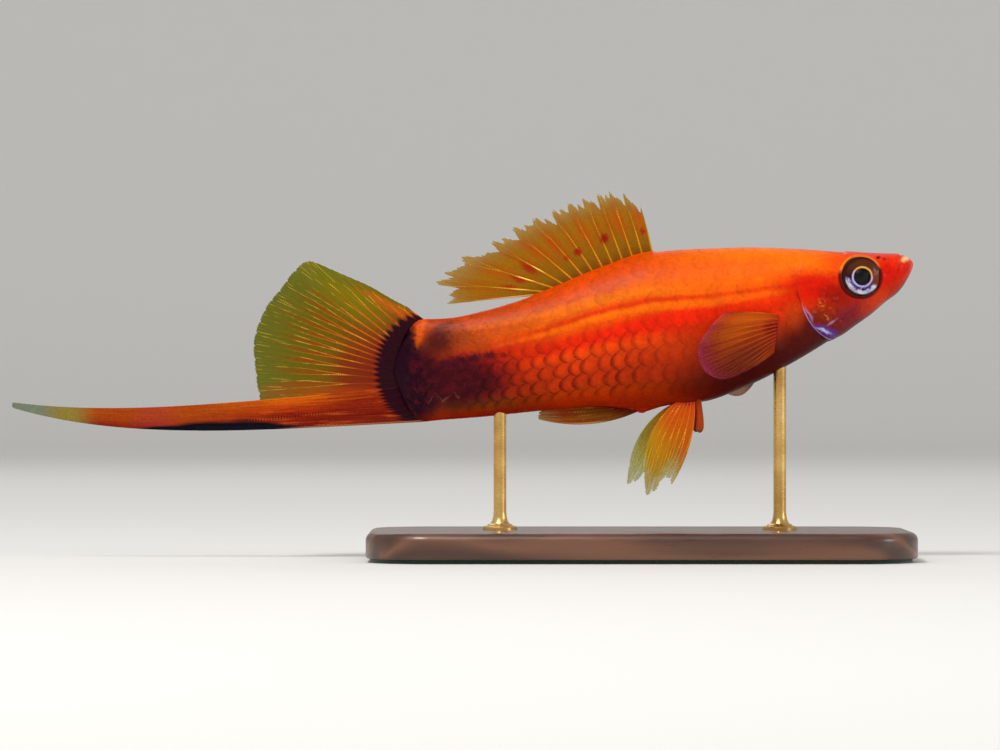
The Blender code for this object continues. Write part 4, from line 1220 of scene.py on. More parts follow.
def skin_finish():
    """Smooth wet skin with a pale line on the gill margin, and painted shade in the groove behind the gill cover,
    in the gape and in the nostril pits.
    """
    if "fish_skin" in bpy.data.materials:
        return bpy.data.materials["fish_skin"]
    f = Finish("fish_skin", Coat_Weight=0.05, Coat_Roughness=0.14, Specular_IOR_Level=0.06)
    colour = marked(f)
    ahead, lipward, reach = f.fact("edges")
    place = f.place()
    height = f.parts(place)[2]
    # Painted shade: the groove just behind the gill cover's lower edge is darkened.
    groove_shade = f.maths("MULTIPLY", f.ranged(ahead, -0.55, -0.15), f.ranged(ahead, 0.06, -0.02))
    free = f.ranged(height, 30.4, 28.0)
    colour = f.mixed(f.maths("MULTIPLY", groove_shade, f.maths("MULTIPLY", free, 0.75)), colour, (60, 6, 8))
    line = f.maths("MULTIPLY", f.ranged(ahead, 0.0, 0.06), f.ranged(ahead, 0.20, 0.10))
    low = f.ranged(height, 28.4, 27.2)
    colour = f.mixed(f.maths("MULTIPLY", line, f.maths("MULTIPLY", low, 0.7)), colour, (205, 165, 228))
    middle = f.maths("ABSOLUTE", f.maths("ADD", lipward, 0.15))
    # Painted shade: the gape between the lips is darkened.
    gape_shade = f.maths("MULTIPLY", f.ranged(middle, 0.20, 0.04), f.ranged(height, 31.0, 32.2, 0.0, 0.22))
    colour = f.mixed(gape_shade, colour, (110, 6, 8))
    rim = f.ranged(reach, 2.56, 2.38, 0.0, 0.9)
    brow = f.ranged(f.maths("MULTIPLY_ADD", f.parts(place)[0], -0.12, height), 28.7, 29.5)
    colour = f.mixed(rim, colour, f.mixed(brow, (78, 8, 2), (240, 124, 20)))
    flat = f.combined(f.parts(place)[0], height)
    # Painted shade: the nostril pits are darkened.
    for (x, z), dark in zip(NOSTRILS, (0.85, 0.4)):
        colour = f.spot(colour, flat, x, z, 0.22, 0.17, 0, (60, 6, 10), dark, 0.5)
    mottle = f.ranged(f.noise(place, 1.7, 3.0, 0.65), 0.48, 0.62)
    near = f.spot((0, 0, 0), flat, 20.6, 27.7, 1.5, 1.7, 0, (255, 255, 255), 1.0, 0.8)
    near = f.parts(near)[0]
    dots = f.ranged(f.noise(place, 1.9, 3.0, 0.6, 1.0), 0.56, 0.70)
    colour = f.mixed(f.maths("MULTIPLY", near, f.maths("MULTIPLY", mottle, 0.55)), colour, (92, 10, 6))
    colour = f.mixed(f.maths("MULTIPLY", near, f.maths("MULTIPLY", dots, 0.55)), colour, (238, 120, 34))
    f.put(colour, f.shader.inputs["Base Color"])
    grain = f.noise(place, 7.0, 3.0)
    f.put(f.ranged(grain, 0.3, 0.7, 0.28, 0.44), f.shader.inputs["Roughness"])
    f.bumped(f.noise(place, 5.0, 4.0), 0.35, 0.05)
    return f.material


def scale_finish():
    """Thin shining scales with a painted highlight in the middle, dark along the rear edge of the lower flank."""
    f = Finish("fish_scales", Coat_Weight=0.03, Coat_Roughness=0.22, Specular_IOR_Level=0.06)
    colour = marked(f)
    x, height, _ = f.fact("lie")
    s, c, _ = f.fact("plate")
    place = f.place()
    low = f.maths("MULTIPLY", f.ranged(height, 0.06, 0.14), f.ranged(height, 0.62, 0.40))
    rear = f.maths("MULTIPLY", f.ranged(x, -22.0, -16.0), f.ranged(x, 7.0, -4.0))
    strong = f.maths("MULTIPLY_ADD", f.maths("MULTIPLY", low, rear), 0.54, 0.08)
    broken = f.ranged(f.noise(place, 1.1, 3.0), 0.35, 0.6, 0.35, 1.0)
    edge = f.maths("MULTIPLY", f.ranged(s, 0.76, 0.98), f.maths("MULTIPLY", strong, broken))
    # Painted highlight: the middle of each scale is lightened, most on the lower rear flank.
    highlight_band = f.maths("MULTIPLY", f.ranged(s, 0.45, 0.72), f.ranged(s, 0.95, 0.80))
    centre = f.maths("MULTIPLY", highlight_band, f.ranged(f.maths("ABSOLUTE", c), 0.7, 0.1))
    shown = f.maths("MULTIPLY", low, rear)
    painted_highlight = f.mixed(f.maths("MULTIPLY", centre, f.maths("MULTIPLY_ADD", shown, 0.42, 0.08)), colour, (170, 176, 130), "DODGE")
    dark = f.mixed(edge, painted_highlight, (110, 40, 60), "MULTIPLY")
    shade = f.ranged(f.fact("root")[2], 0.0, 1.0, 0.90, 1.08, smooth=False)
    f.put(f.mixed(1.0, dark, f.combined(shade, shade, shade), "MULTIPLY"), f.shader.inputs["Base Color"])
    grain = f.noise(place, 6.0, 2.0)
    f.put(f.ranged(grain, 0.3, 0.7, 0.36, 0.50), f.shader.inputs["Roughness"])
    lines = f.maths("SINE", f.maths("MULTIPLY", s, 130.0))
    f.bumped(f.maths("ADD", f.maths("MULTIPLY", lines, 0.12), grain), 0.2, 0.03)
    return f.material


def web_finish(name, tones, streaks, spots=(), clear=(0.98, 0.80), rays=13, dark_tail=False):
    """A fin's skin, coloured from root to tip, darker along the rays and clearer towards the edge."""
    f = Finish(name, Roughness=0.42, Coat_Weight=0.03, Coat_Roughness=0.15, Specular_IOR_Level=0.08)
    at, s, off = f.fact("web")
    place = f.place()
    across = f.parts(place)
    cloud = f.noise(place, 0.8, 3.0)
    run = f.maths("MULTIPLY_ADD", f.maths("SUBTRACT", cloud, 0.5), 0.14, s)
    colour = f.ramp(run, tones)
    along = f.noise(f.combined(f.maths("MULTIPLY", at, 40.0), f.maths("MULTIPLY", s, 3.0)), 1.0, 3.0)
    band = f.maths("MULTIPLY", f.ranged(off, 0.8, 0.1), f.ranged(run, 0.98, 0.55))
    band = f.maths("MULTIPLY", band, f.ranged(along, 0.35, 0.6, 0.35, 1.0))
    colour = f.mixed(f.maths("MULTIPLY", band, 0.75), colour, streaks)
    striae = f.maths("SINE", f.maths("MULTIPLY", at, (rays - 1) * 8 * math.pi))
    grain = f.noise(place, 4.0, 3.0)
    shade = f.ranged(grain, 0.3, 0.7, 0.88, 1.12, smooth=False)
    shade = f.maths("MULTIPLY_ADD", striae, 0.03, shade)
    colour = f.mixed(1.0, colour, f.combined(shade, shade, shade), "MULTIPLY")
    waver = f.maths("MULTIPLY", f.maths("SUBTRACT", grain, 0.5), 0.8)
    side = f.combined(f.maths("ADD", waver, across[0]), f.maths("ADD", waver, across[2]))
    for spot in spots:
        colour = f.spot(colour, side, *spot)
    if dark_tail:
        colour = comb_of_dark(f, colour, across, at)
    f.put(colour, f.shader.inputs["Base Color"])
    f.put(f.ranged(run, 0.5, 1.0, clear[0], clear[1]), f.shader.inputs["Alpha"])
    f.bumped(f.maths("MULTIPLY_ADD", striae, 0.2, grain), 0.3, 0.03)
    return f.material


def comb_of_dark(f, colour, across, at):
    """The black block of the tail's root, which ends on the fin in teeth between the rays."""
    inputs = {
        "Vector": f.combined(across[0], across[2]),
        "Location": (TAIL_TURN, 20.9, 0.0),
        "Scale": (5.4, 6.2, 1.0),
    }
    placed = f.add("ShaderNodeMapping", inputs, vector_type="TEXTURE").outputs[0]
    teeth = f.maths("COSINE", f.maths("MULTIPLY", at, 32 * math.pi))
    reach = f.maths("MULTIPLY_ADD", teeth, 0.045, f.vectors("LENGTH", placed))
    return f.mixed(f.ranged(reach, 1.07, 0.95), colour, (38, 0, 14))


def ray_finish(name, tones, glint_tone=(255, 190, 80), glint_share=0.5, joint=0.34, dark_tail=False, spots=()):
    """Jointed rays with painted highlights on their joints."""
    f = Finish(name, Roughness=0.45, Coat_Weight=0.02, Coat_Roughness=0.18, Specular_IOR_Level=0.07)
    at, s, run = f.fact("ray")
    place = f.place()
    across = f.parts(place)
    cloud = f.noise(place, 0.9, 2.0)
    colour = f.ramp(f.maths("MULTIPLY_ADD", f.maths("SUBTRACT", cloud, 0.5), 0.18, s), tones)
    # Painted highlights: glints in the glint tone along the rays' joints.
    wave = f.maths("SINE", f.maths("MULTIPLY", run, 2 * math.pi / joint))
    strip = f.noise(f.combined(f.maths("MULTIPLY", at, 60.0), f.maths("MULTIPLY", run, 0.35)), 1.0, 3.0)
    glint = f.maths("MULTIPLY", f.ranged(strip, 0.50, 0.62), f.ranged(wave, -1.2, 0.8))
    colour = f.mixed(f.maths("MULTIPLY", glint, glint_share), colour, glint_tone)
    side = f.combined(across[0], across[2])
    for spot in spots:
        colour = f.spot(colour, side, *spot)
    if dark_tail:
        colour = comb_of_dark(f, colour, across, at)
    f.put(colour, f.shader.inputs["Base Color"])
    return f.material


def eye_finish():
    """The painted eye: black lens, gold and silver ring, brown iris with a silver foot."""
    if "fish_eye" in bpy.data.materials:
        return bpy.data.materials["fish_eye"]
    f = Finish("fish_eye", Roughness=0.3, Specular_IOR_Level=0.12)
    place = f.place()
    across = f.parts(place)
    x = f.maths("SUBTRACT", across[0], EYE_X + 0.22)
    z = f.maths("SUBTRACT", across[2], EYE_Z)
    flat = f.combined(x, z)
    grain = f.noise(place, 4.0, 4.0, 0.7)
    reach = f.maths("MULTIPLY_ADD", f.maths("SUBTRACT", grain, 0.5), 0.16, f.vectors("LENGTH", flat))
    turn = f.maths("ARCTAN2", z, x)
    spokes = f.noise(f.combined(f.maths("MULTIPLY", turn, 2.2), f.maths("MULTIPLY", reach, 0.5)), 3.0, 4.0, 0.7)
    sides = f.mixed(f.ranged(x, -0.5, 0.9), (58, 2, 16), (128, 50, 4))
    iris = f.mixed(f.ranged(z, 0.2, 1.1), sides, (84, 36, 2))
    foot = f.ranged(f.maths("MULTIPLY_ADD", x, 0.25, z), -0.35, -0.80)
    patches = f.noise(f.combined(f.maths("MULTIPLY", turn, 1.3), reach), 2.0, 4.0, 0.75, 0.6)
    blue = f.ramp(patches, ((0.40, (30, 12, 60)), (0.52, (84, 74, 172)), (0.66, (196, 186, 230))))
    silver = f.ramp(patches, ((0.36, (120, 112, 190)), (0.48, (214, 206, 232)), (0.62, (255, 250, 255))))
    low = f.mixed(f.ranged(f.maths("MULTIPLY_ADD", f.maths("SUBTRACT", patches, 0.5), 1.0, reach), 1.40, 1.56), blue, silver)
    iris = f.mixed(f.maths("MULTIPLY", foot, f.ranged(reach, 1.98, 1.84)), iris, low)
    iris = f.mixed(f.ranged(reach, 1.80, 2.02), iris, (46, 8, 2))
    ring = f.mixed(f.ranged(f.maths("MULTIPLY_ADD", x, 0.3, z), 0.1, 0.7), (206, 196, 232), (246, 176, 74))
    thin = f.maths("MULTIPLY", f.ranged(reach, 0.94, 0.99), f.ranged(reach, 1.20, 1.12))
    iris = f.mixed(f.maths("MULTIPLY", thin, f.ranged(spokes, 0.3, 0.5, 0.6, 1.0)), iris, ring)
    pupil = f.mixed(f.ranged(z, -0.5, -0.9), (2, 1, 3), (8, 6, 34))
    colour = f.mixed(f.ranged(f.vectors("LENGTH", flat), 0.96, 0.90), iris, pupil)
    f.put(colour, f.shader.inputs["Base Color"])
    f.bumped(spokes, 0.3, 0.03)
    return f.material


def cornea_finish():
    """Clear gloss that shows only where it mirrors light."""
    if "eye_cornea" in bpy.data.materials:
        return bpy.data.materials["eye_cornea"]
    f = Finish("eye_cornea")
    clear = f.add("ShaderNodeBsdfTransparent").outputs[0]
    gloss = f.add("ShaderNodeBsdfGlossy", {"Roughness": 0.03}).outputs[0]
    share = f.add("ShaderNodeFresnel", {"IOR": 1.16}).outputs[0]
    both = f.add("ShaderNodeMixShader", {0: share, 1: clear, 2: gloss}).outputs[0]
    f.put(both, f.tree.nodes["Material Output"].inputs["Surface"])
    f.tree.nodes.remove(f.shader)
    return f.material


def walnut_finish():
    """Satin-varnished walnut with the grain along the board."""
    f = Finish("varnished_walnut", Coat_Weight=0.35, Coat_Roughness=0.18)
    place = f.place()
    _, y, z = f.parts(place)
    figure = f.noise(f.vectors("MULTIPLY", place, (0.02, 0.22, 0.22)), 0.7, 3.0, 0.5, 0.3)
    grain = f.maths("MULTIPLY_ADD", y, 2.1, f.maths("MULTIPLY", z, 1.2))
    rings = f.maths("SINE", f.maths("MULTIPLY_ADD", figure, 24.0, grain))
    wood = f.ramp(
        f.maths("MULTIPLY_ADD", rings, 0.5, 0.5),
        ((0.0, (66, 37, 23)), (0.5, (86, 51, 32)), (0.85, (102, 63, 40)), (1.0, (112, 71, 46))),
    )
    pores = f.noise(f.vectors("MULTIPLY", place, (0.5, 6.0, 6.0)), 1.0, 3.0, 0.6)
    dark = f.ranged(pores, 0.36, 0.30)
    wood = f.mixed(f.maths("MULTIPLY", dark, 0.6), wood, (34, 18, 12))
    f.put(wood, f.shader.inputs["Base Color"])
    f.put(f.ranged(pores, 0.3, 0.7, 0.30, 0.46), f.shader.inputs["Roughness"])
    f.bumped(pores, 0.35, 0.04)
    return f.material


def felt_finish():
    f = Finish("green_felt", Roughness=0.95, Sheen_Weight=0.6)
    place = f.place()
    fibres = f.noise(place, 6.0, 5.0, 0.75)
    f.put(f.ramp(fibres, ((0.3, (14, 34, 24)), (0.7, (34, 62, 44)))), f.shader.inputs["Base Color"])
    f.bumped(fibres, 0.8, 0.1)
    return f.material


def brass_finish():
    """Brushed brass, turned round the rods."""
    f = Finish("brushed_brass", Metallic=1.0)
    place = f.place()
    brushed = f.noise(f.vectors("MULTIPLY", place, (0.6, 0.6, 14.0)), 1.0, 3.0, 0.6)
    stain = f.noise(place, 0.35, 3.0)
    brass = f.ramp(stain, ((0.3, (196, 152, 84)), (0.6, (222, 180, 106)), (0.8, (232, 196, 128))))
    f.put(brass, f.shader.inputs["Base Color"])
    f.put(f.ranged(brushed, 0.25, 0.75, 0.20, 0.38), f.shader.inputs["Roughness"])
    f.bumped(brushed, 0.2, 0.02)
    return f.material


# ---------------------------------------------------------------- stand


def board(name, long, wide, corner, bottom, top, bevel, finish):
    """A board with round corners, its edges rounded over."""
    work = bmesh.new()
    size = Matrix.Diagonal((long, wide, top - bottom, 1.0))
    bmesh.ops.create_cube(work, size=1.0, matrix=Matrix.Translation((0, 0, (bottom + top) / 2)) @ size)
    upright = [e for e in work.edges if abs(e.verts[0].co.z - e.verts[1].co.z) > 0.1]
    bmesh.ops.bevel(work, geom=upright, offset=corner, segments=20, profile=0.5, affect="EDGES")
    flats = [e for e in work.edges if abs(e.verts[0].co.z - e.verts[1].co.z) < 0.01 and len(e.link_faces) == 2]
    rims = [e for e in flats if e.calc_face_angle() > 1.0]
    upper = [e for e in rims if e.verts[0].co.z > (bottom + top) / 2]
    bmesh.ops.bevel(work, geom=upper, offset=bevel, segments=8, profile=0.5, affect="EDGES")
    lower = [
        e for e in work.edges
        if len(e.link_faces) == 2 and max(v.co.z for v in e.verts) < bottom + 0.01 and e.calc_face_angle() > 1.0
    ]
    bmesh.ops.bevel(work, geom=lower, offset=min(0.25, (top - bottom) / 3), segments=3, profile=0.5, affect="EDGES")
    bmesh.ops.scale(work, vec=(MM, MM, MM), verts=work.verts)
    mesh = bpy.data.meshes.new(name)
    work.to_mesh(mesh)
    work.free()
    mesh.shade_smooth()
    mesh.set_sharp_from_angle(angle=math.radians(40))
    mesh.materials.append(finish)
    obj = bpy.data.objects.new(name, mesh)
    bpy.context.scene.collection.objects.link(obj)
    return obj


def turned(name, x, y, profile, finish, sides=56):
    """A piece turned on a lathe about an upright axis; the profile is radius and height."""
    radius, height = np.array(profile, float).T
    a = np.arange(sides) * 2 * math.pi / sides
    rings = np.zeros((len(radius), sides, 3))
    rings[..., 0] = x + radius[:, None] * np.cos(a)
    rings[..., 1] = y + radius[:, None] * np.sin(a)
    rings[..., 2] = height[:, None]
    obj = round_mesh(name, rings, np.linspace(0.02, 0.98, len(radius)))
    outward(obj)
    obj.data.set_sharp_from_angle(angle=math.radians(35))
    obj.data.materials.append(finish)
    return obj


def rod_profile(top):
    foot = BASE_THICK
    return (
        (1.90, foot - 0.02),
        (1.90, foot + 0.28),
        (1.80, foot + 0.40),
        (1.45, foot + 0.46),
        (1.30, foot + 0.62),
        (1.05, foot + 0.70),
        (0.86, foot + 1.00),
        (0.74, foot + 1.50),
        (ROD_RADIUS, foot + 2.0),
        (ROD_RADIUS, (foot + top) / 2),
        (ROD_RADIUS, top - 0.1),
        (ROD_RADIUS - 0.1, top),
    )


# ---------------------------------------------------------------- the whole model


def kept(piece, slot, *nodes):
    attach(piece, "root")
    if nodes:
        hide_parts(*nodes)


def build_fish():
    kept(
        build_skin(),
        "skin",
        "head",
        "lower_jaw",
        "gill_cover_right",
        "gill_cover_left",
        "trunk",
        "tail_stalk",
    )
    kept(build_scales(), "skin", "trunk", "tail_stalk")
    for side, word in ((-1, "right"), (1, "left")):
        for piece in build_eye(side, word):
            kept(piece, "eye", f"eye_{word}")
        kept(eye_rim(side, word), "skin")


def build_fins():
    dorsal_spots = (
        (-2.4, 37.4, 0.5, 1.6, 20, (184, 60, 0), 0.6, 0.8),
        (-6.2, 36.2, 0.5, 1.8, 32, (180, 66, 0), 0.6, 0.8),
        (-9.6, 34.8, 0.5, 1.8, 46, (176, 60, 0), 0.6, 0.8),
        (-0.2, 38.4, 0.4, 1.5, 10, (186, 62, 0), 0.65, 0.8),
        (-11.6, 34.1, 0.5, 1.9, 60, (176, 64, 0), 0.6, 0.8),
        (-15.2, 31.4, 2.4, 0.4, -12, (176, 78, 4), 0.6, 0.8),
        (-3.92, 35.4, 0.44, 0.52, 0, (140, 8, 0), 0.95, 0.6),
        (-6.82, 33.9, 0.46, 0.40, 0, (150, 10, 0), 0.9, 0.5),
        (-8.14, 33.2, 0.30, 0.28, 0, (160, 20, 0), 0.7, 0.5),
        (0.28, 36.2, 0.26, 0.34, 0, (150, 16, 0), 0.9, 0.5),
        (-12.2, 32.1, 0.95, 0.42, -30, (150, 24, 0), 0.85, 0.6),
        (-13.4, 30.95, 0.85, 0.30, -20, (150, 24, 0), 0.85, 0.6),
        (-14.3, 29.95, 0.9, 0.28, -12, (155, 34, 0), 0.75, 0.6),
    )
    dorsal_glints = (
        (-8.0, 34.35, 0.55, 0.16, -38, (255, 226, 60), 0.9, 0.6),
        (-9.6, 33.1, 0.75, 0.16, -34, (255, 232, 70), 0.95, 0.6),
        (-11.0, 32.0, 0.85, 0.16, -24, (255, 236, 90), 0.95, 0.6),
        (-12.6, 30.95, 1.1, 0.16, -10, (255, 236, 90), 0.95, 0.6),
        (-12.9, 29.85, 1.1, 0.16, 4, (240, 216, 90), 0.8, 0.6),
        (-16.4, 28.3, 3.6, 0.40, 10, (226, 176, 130), 0.7, 0.6),
    )
    dorsal = dorsal_shape()
    web = fin_web(
        "dorsal_web", dorsal, 13, 26,
        web_finish(
            "dorsal_skin",
            (
                (0.0, (112, 66, 0)),
                (0.15, (130, 90, 0)),
                (0.45, (150, 92, 0)),
                (0.75, (156, 106, 0)),
                (1.0, (170, 134, 20)),
            ),
            (164, 62, 0), dorsal_spots, (0.99, 0.60), 13,
        ),
        tip_half=0.012, notch=0.0, fork=0.0, spread=0.42, flame=0.19,
    )
    kept(web, "fin_skin", "dorsal_fin")
    rays = fin_rays(
        "dorsal_rays", dorsal, 13, 0.12,
        ray_finish(
            "dorsal_ray",
            (
                (0.0, (176, 130, 4)),
                (0.2, (190, 146, 8)),
                (0.45, (168, 126, 6)),
                (0.7, (154, 108, 6)),
                (0.9, (160, 124, 30)),
                (1.0, (172, 150, 80)),
            ),
            (236, 204, 50), 0.35, spots=dorsal_spots[6:10] + dorsal_glints,
        ),
        splits=(0.52, 0.80), spread=0.42, tip=0.3, flame=0.19,
    )
    kept(rays, "fin_skin", "dorsal_fin")

    tail = tail_shape()
    web = fin_web(
        "tail_web", tail, 17, 34,
        web_finish(
            "tail_skin",
            (
                (0.0, (50, 4, 22)),
                (0.12, (112, 26, 4)),
                (0.24, (118, 58, 4)),
                (0.45, (104, 80, 2)),
                (0.75, (98, 94, 4)),
                (1.0, (98, 100, 8)),
            ),
            (150, 50, 2),
            (
                (-31.4, 20.6, 2.4, 2.6, 0, (118, 26, 4), 0.7, 0.6),
                (-38.4, 18.6, 3.6, 0.8, 3, (150, 70, 8), 0.7, 0.7),
                (-33.0, 18.2, 4.0, 0.7, 3, (168, 50, 4), 0.8, 0.7),
                (-33.0, 30.2, 6.5, 1.9, -38, (122, 122, 2), 0.6, 0.8),
                (-27.4, 27.9, 4.0, 0.5, -30, (190, 84, 6), 0.75, 0.7),
            ),
            (0.99, 0.84), 17, True,
        ),
        notch=0.014, fork=0.008,
    )
    kept(web, "fin_skin", "tail_fin")
    rays = fin_rays(
        "tail_rays", tail, 17, 0.095,
        ray_finish(
            "tail_ray",
            (
                (0.0, (60, 5, 20)),
                (0.14, (176, 62, 6)),
                (0.28, (200, 110, 14)),
                (0.5, (164, 108, 10)),
                (0.75, (112, 96, 6)),
                (1.0, (102, 104, 16)),
            ),
            (250, 196, 70), 0.6, joint=0.26, dark_tail=True,
            spots=((-30.0, 19.4, 2.3, 2.7, 0, (140, 38, 4), 0.9, 0.5),),
        ),
        joint=0.26, swell=0.05,
    )
    kept(rays, "fin_skin", "tail_fin")

    sword = sword_shape()
    web = fin_web("sword_web", sword, 8, 60, sword_finish("sword_skin", "web"), 0.13, 0.04, 0.0, 0.0)
    kept(web, "fin_skin", "tail_sword")
    rays = fin_rays(
        "sword_rays", sword, 8, 0.17, sword_finish("sword_ray", "ray"),
        splits=(0.55,), spread=0.5, tip=0.4, joint=0.45, step=0.23,
    )
    kept(rays, "fin_skin", "tail_sword")

    anal = anal_shape()
    web = fin_web(
        "anal_web", anal, 5, 22,
        web_finish(
            "anal_skin",
            ((0.0, (104, 14, 2)), (0.3, (116, 48, 2)), (0.7, (146, 46, 6)), (1.0, (150, 90, 40))),
            (126, 26, 2),
            ((-0.9, 16.3, 1.4, 0.6, 0, (84, 4, 2), 0.85, 0.7), (-5.6, 15.7, 3.6, 0.35, 4, (140, 98, 4), 0.55, 0.8)),
            (0.99, 0.86), 5,
        ),
        notch=0.03,
    )
    kept(web, "fin_skin", "anal_fin")
    rays = fin_rays(
        "anal_rays", anal, 5, 0.16,
        ray_finish(
            "anal_ray",
            ((0.0, (104, 16, 2)), (0.3, (128, 66, 4)), (0.7, (146, 66, 8)), (1.0, (164, 120, 66))),
            (206, 160, 60), 0.3, spots=((-5.0, 14.9, 6.0, 0.30, 3, (196, 150, 96), 0.6, 0.5),),
        ),
        splits=(0.7,), spread=0.4,
    )
    kept(rays, "fin_skin", "anal_fin")

    pelvic_web = web_finish(
        "pelvic_skin",
        (
            (0.0, (196, 66, 2)),
            (0.2, (186, 82, 0)),
            (0.5, (170, 98, 0)),
            (0.75, (150, 112, 10)),
            (1.0, (148, 152, 96)),
        ),
        (214, 60, 2),
        (
            (5.3, 17.35, 0.5, 0.4, 0, (150, 14, 60), 0.8, 0.5),
            (1.3, 12.0, 1.5, 5.0, 10, (176, 142, 12), 0.6, 1.0),
            (4.9, 12.0, 0.7, 3.5, -8, (190, 70, 4), 0.6, 0.8),
        ),
        (0.96, 0.40), 7,
    )
    pelvic_ray = ray_finish(
        "pelvic_ray",
        ((0.0, (214, 80, 4)), (0.4, (200, 118, 8)), (0.8, (170, 138, 40)), (1.0, (166, 164, 112))),
        (250, 200, 70), 0.45,
    )
    # The far pelvic fin gets a brighter, yellower copy of the near fin's finish: painted light that lifts the shade
    # the far fin lies in.
    pelvic_web_far_lit = web_finish(
        "pelvic_skin_far",
        ((0.0, (214, 110, 10)), (0.25, (208, 160, 26)), (0.6, (198, 190, 70)), (1.0, (196, 204, 146))),
        (210, 150, 20), (), (0.90, 0.45), 7,
    )
    pelvic_ray_far = ray_finish(
        "pelvic_ray_far",
        ((0.0, (220, 116, 10)), (0.3, (214, 172, 40)), (0.7, (204, 198, 90)), (1.0, (204, 210, 156))),
        (236, 224, 130), 0.4,
    )
    lobe = web_finish(
        "pelvic_lobe", ((0.0, (150, 36, 2)), (0.5, (172, 78, 8)), (1.0, (150, 72, 20))), (150, 40, 6), (), (1, 1)
    )
    pectoral_web = web_finish(
        "pectoral_skin",
        (
            (0.0, (150, 30, 0)),
            (0.2, (164, 50, 0)),
            (0.5, (152, 54, 2)),
            (0.8, (130, 36, 20)),
            (0.93, (136, 34, 52)),
            (1.0, (164, 50, 84)),
        ),
        (178, 74, 0),
        (
            (14.4, 25.5, 0.9, 0.8, 0, (104, 4, 4), 0.75, 0.7),
            (10.6, 26.5, 3.6, 0.55, 2, (216, 92, 8), 0.7, 0.8),
            (9.4, 25.0, 2.6, 0.8, 14, (190, 84, 2), 0.55, 0.8),
            (11.2, 22.0, 3.2, 1.5, 34, (84, 18, 10), 0.7, 0.8),
            (11.0, 18.8, 1.5, 0.8, 0, (208, 160, 70), 0.9, 0.6),
        ),
        (0.86, 0.55), 12,
    )
    pectoral_ray = ray_finish(
        "pectoral_ray",
        ((0.0, (178, 48, 0)), (0.4, (204, 92, 4)), (0.75, (180, 66, 20)), (1.0, (164, 60, 76))),
        (230, 116, 20), 0.35,
        spots=((11.2, 22.0, 3.2, 1.5, 34, (110, 34, 16), 0.7, 0.8),),
    )
    pelvic = (
        (-1, "right", 0, 11, pelvic_web, pelvic_ray),
        (1, "left", 12, 13, pelvic_web_far_lit, pelvic_ray_far),
    )
    for side, word, turn_back, flare, skin, bars in pelvic:
        shape = pelvic_shape(side, turn_back, flare)
        node = f"pelvic_fin_{word}"
        web = fin_web(f"pelvic_web_{word}", shape, 7, 26, skin, notch=0.05, fork=0.015, spread=0.9)
        kept(web, "fin_skin", node)
        rays = fin_rays(f"pelvic_rays_{word}", shape, 7, 0.10, bars, notch=0.05, fork=0.015, spread=0.9)
        kept(rays, "fin_skin", node)
        kept(pelvic_lobe(side, word, turn_back, flare, lobe), "fin_skin", node)
    for side, word, turn_down, flare in ((-1, "right", 0, 14), (1, "left", 28, 28)):
        shape = pectoral_shape(side, turn_down, flare)
        node = f"pectoral_fin_{word}"
        web = fin_web(f"pectoral_web_{word}", shape, 12, 24, pectoral_web, 0.05, 0.02, 0.006, 0.003)
        kept(web, "fin_skin", node)
        rays = fin_rays(f"pectoral_rays_{word}", shape, 12, 0.085, pectoral_ray, tip=0.35, swell=0.03)
        kept(rays, "fin_skin", node)


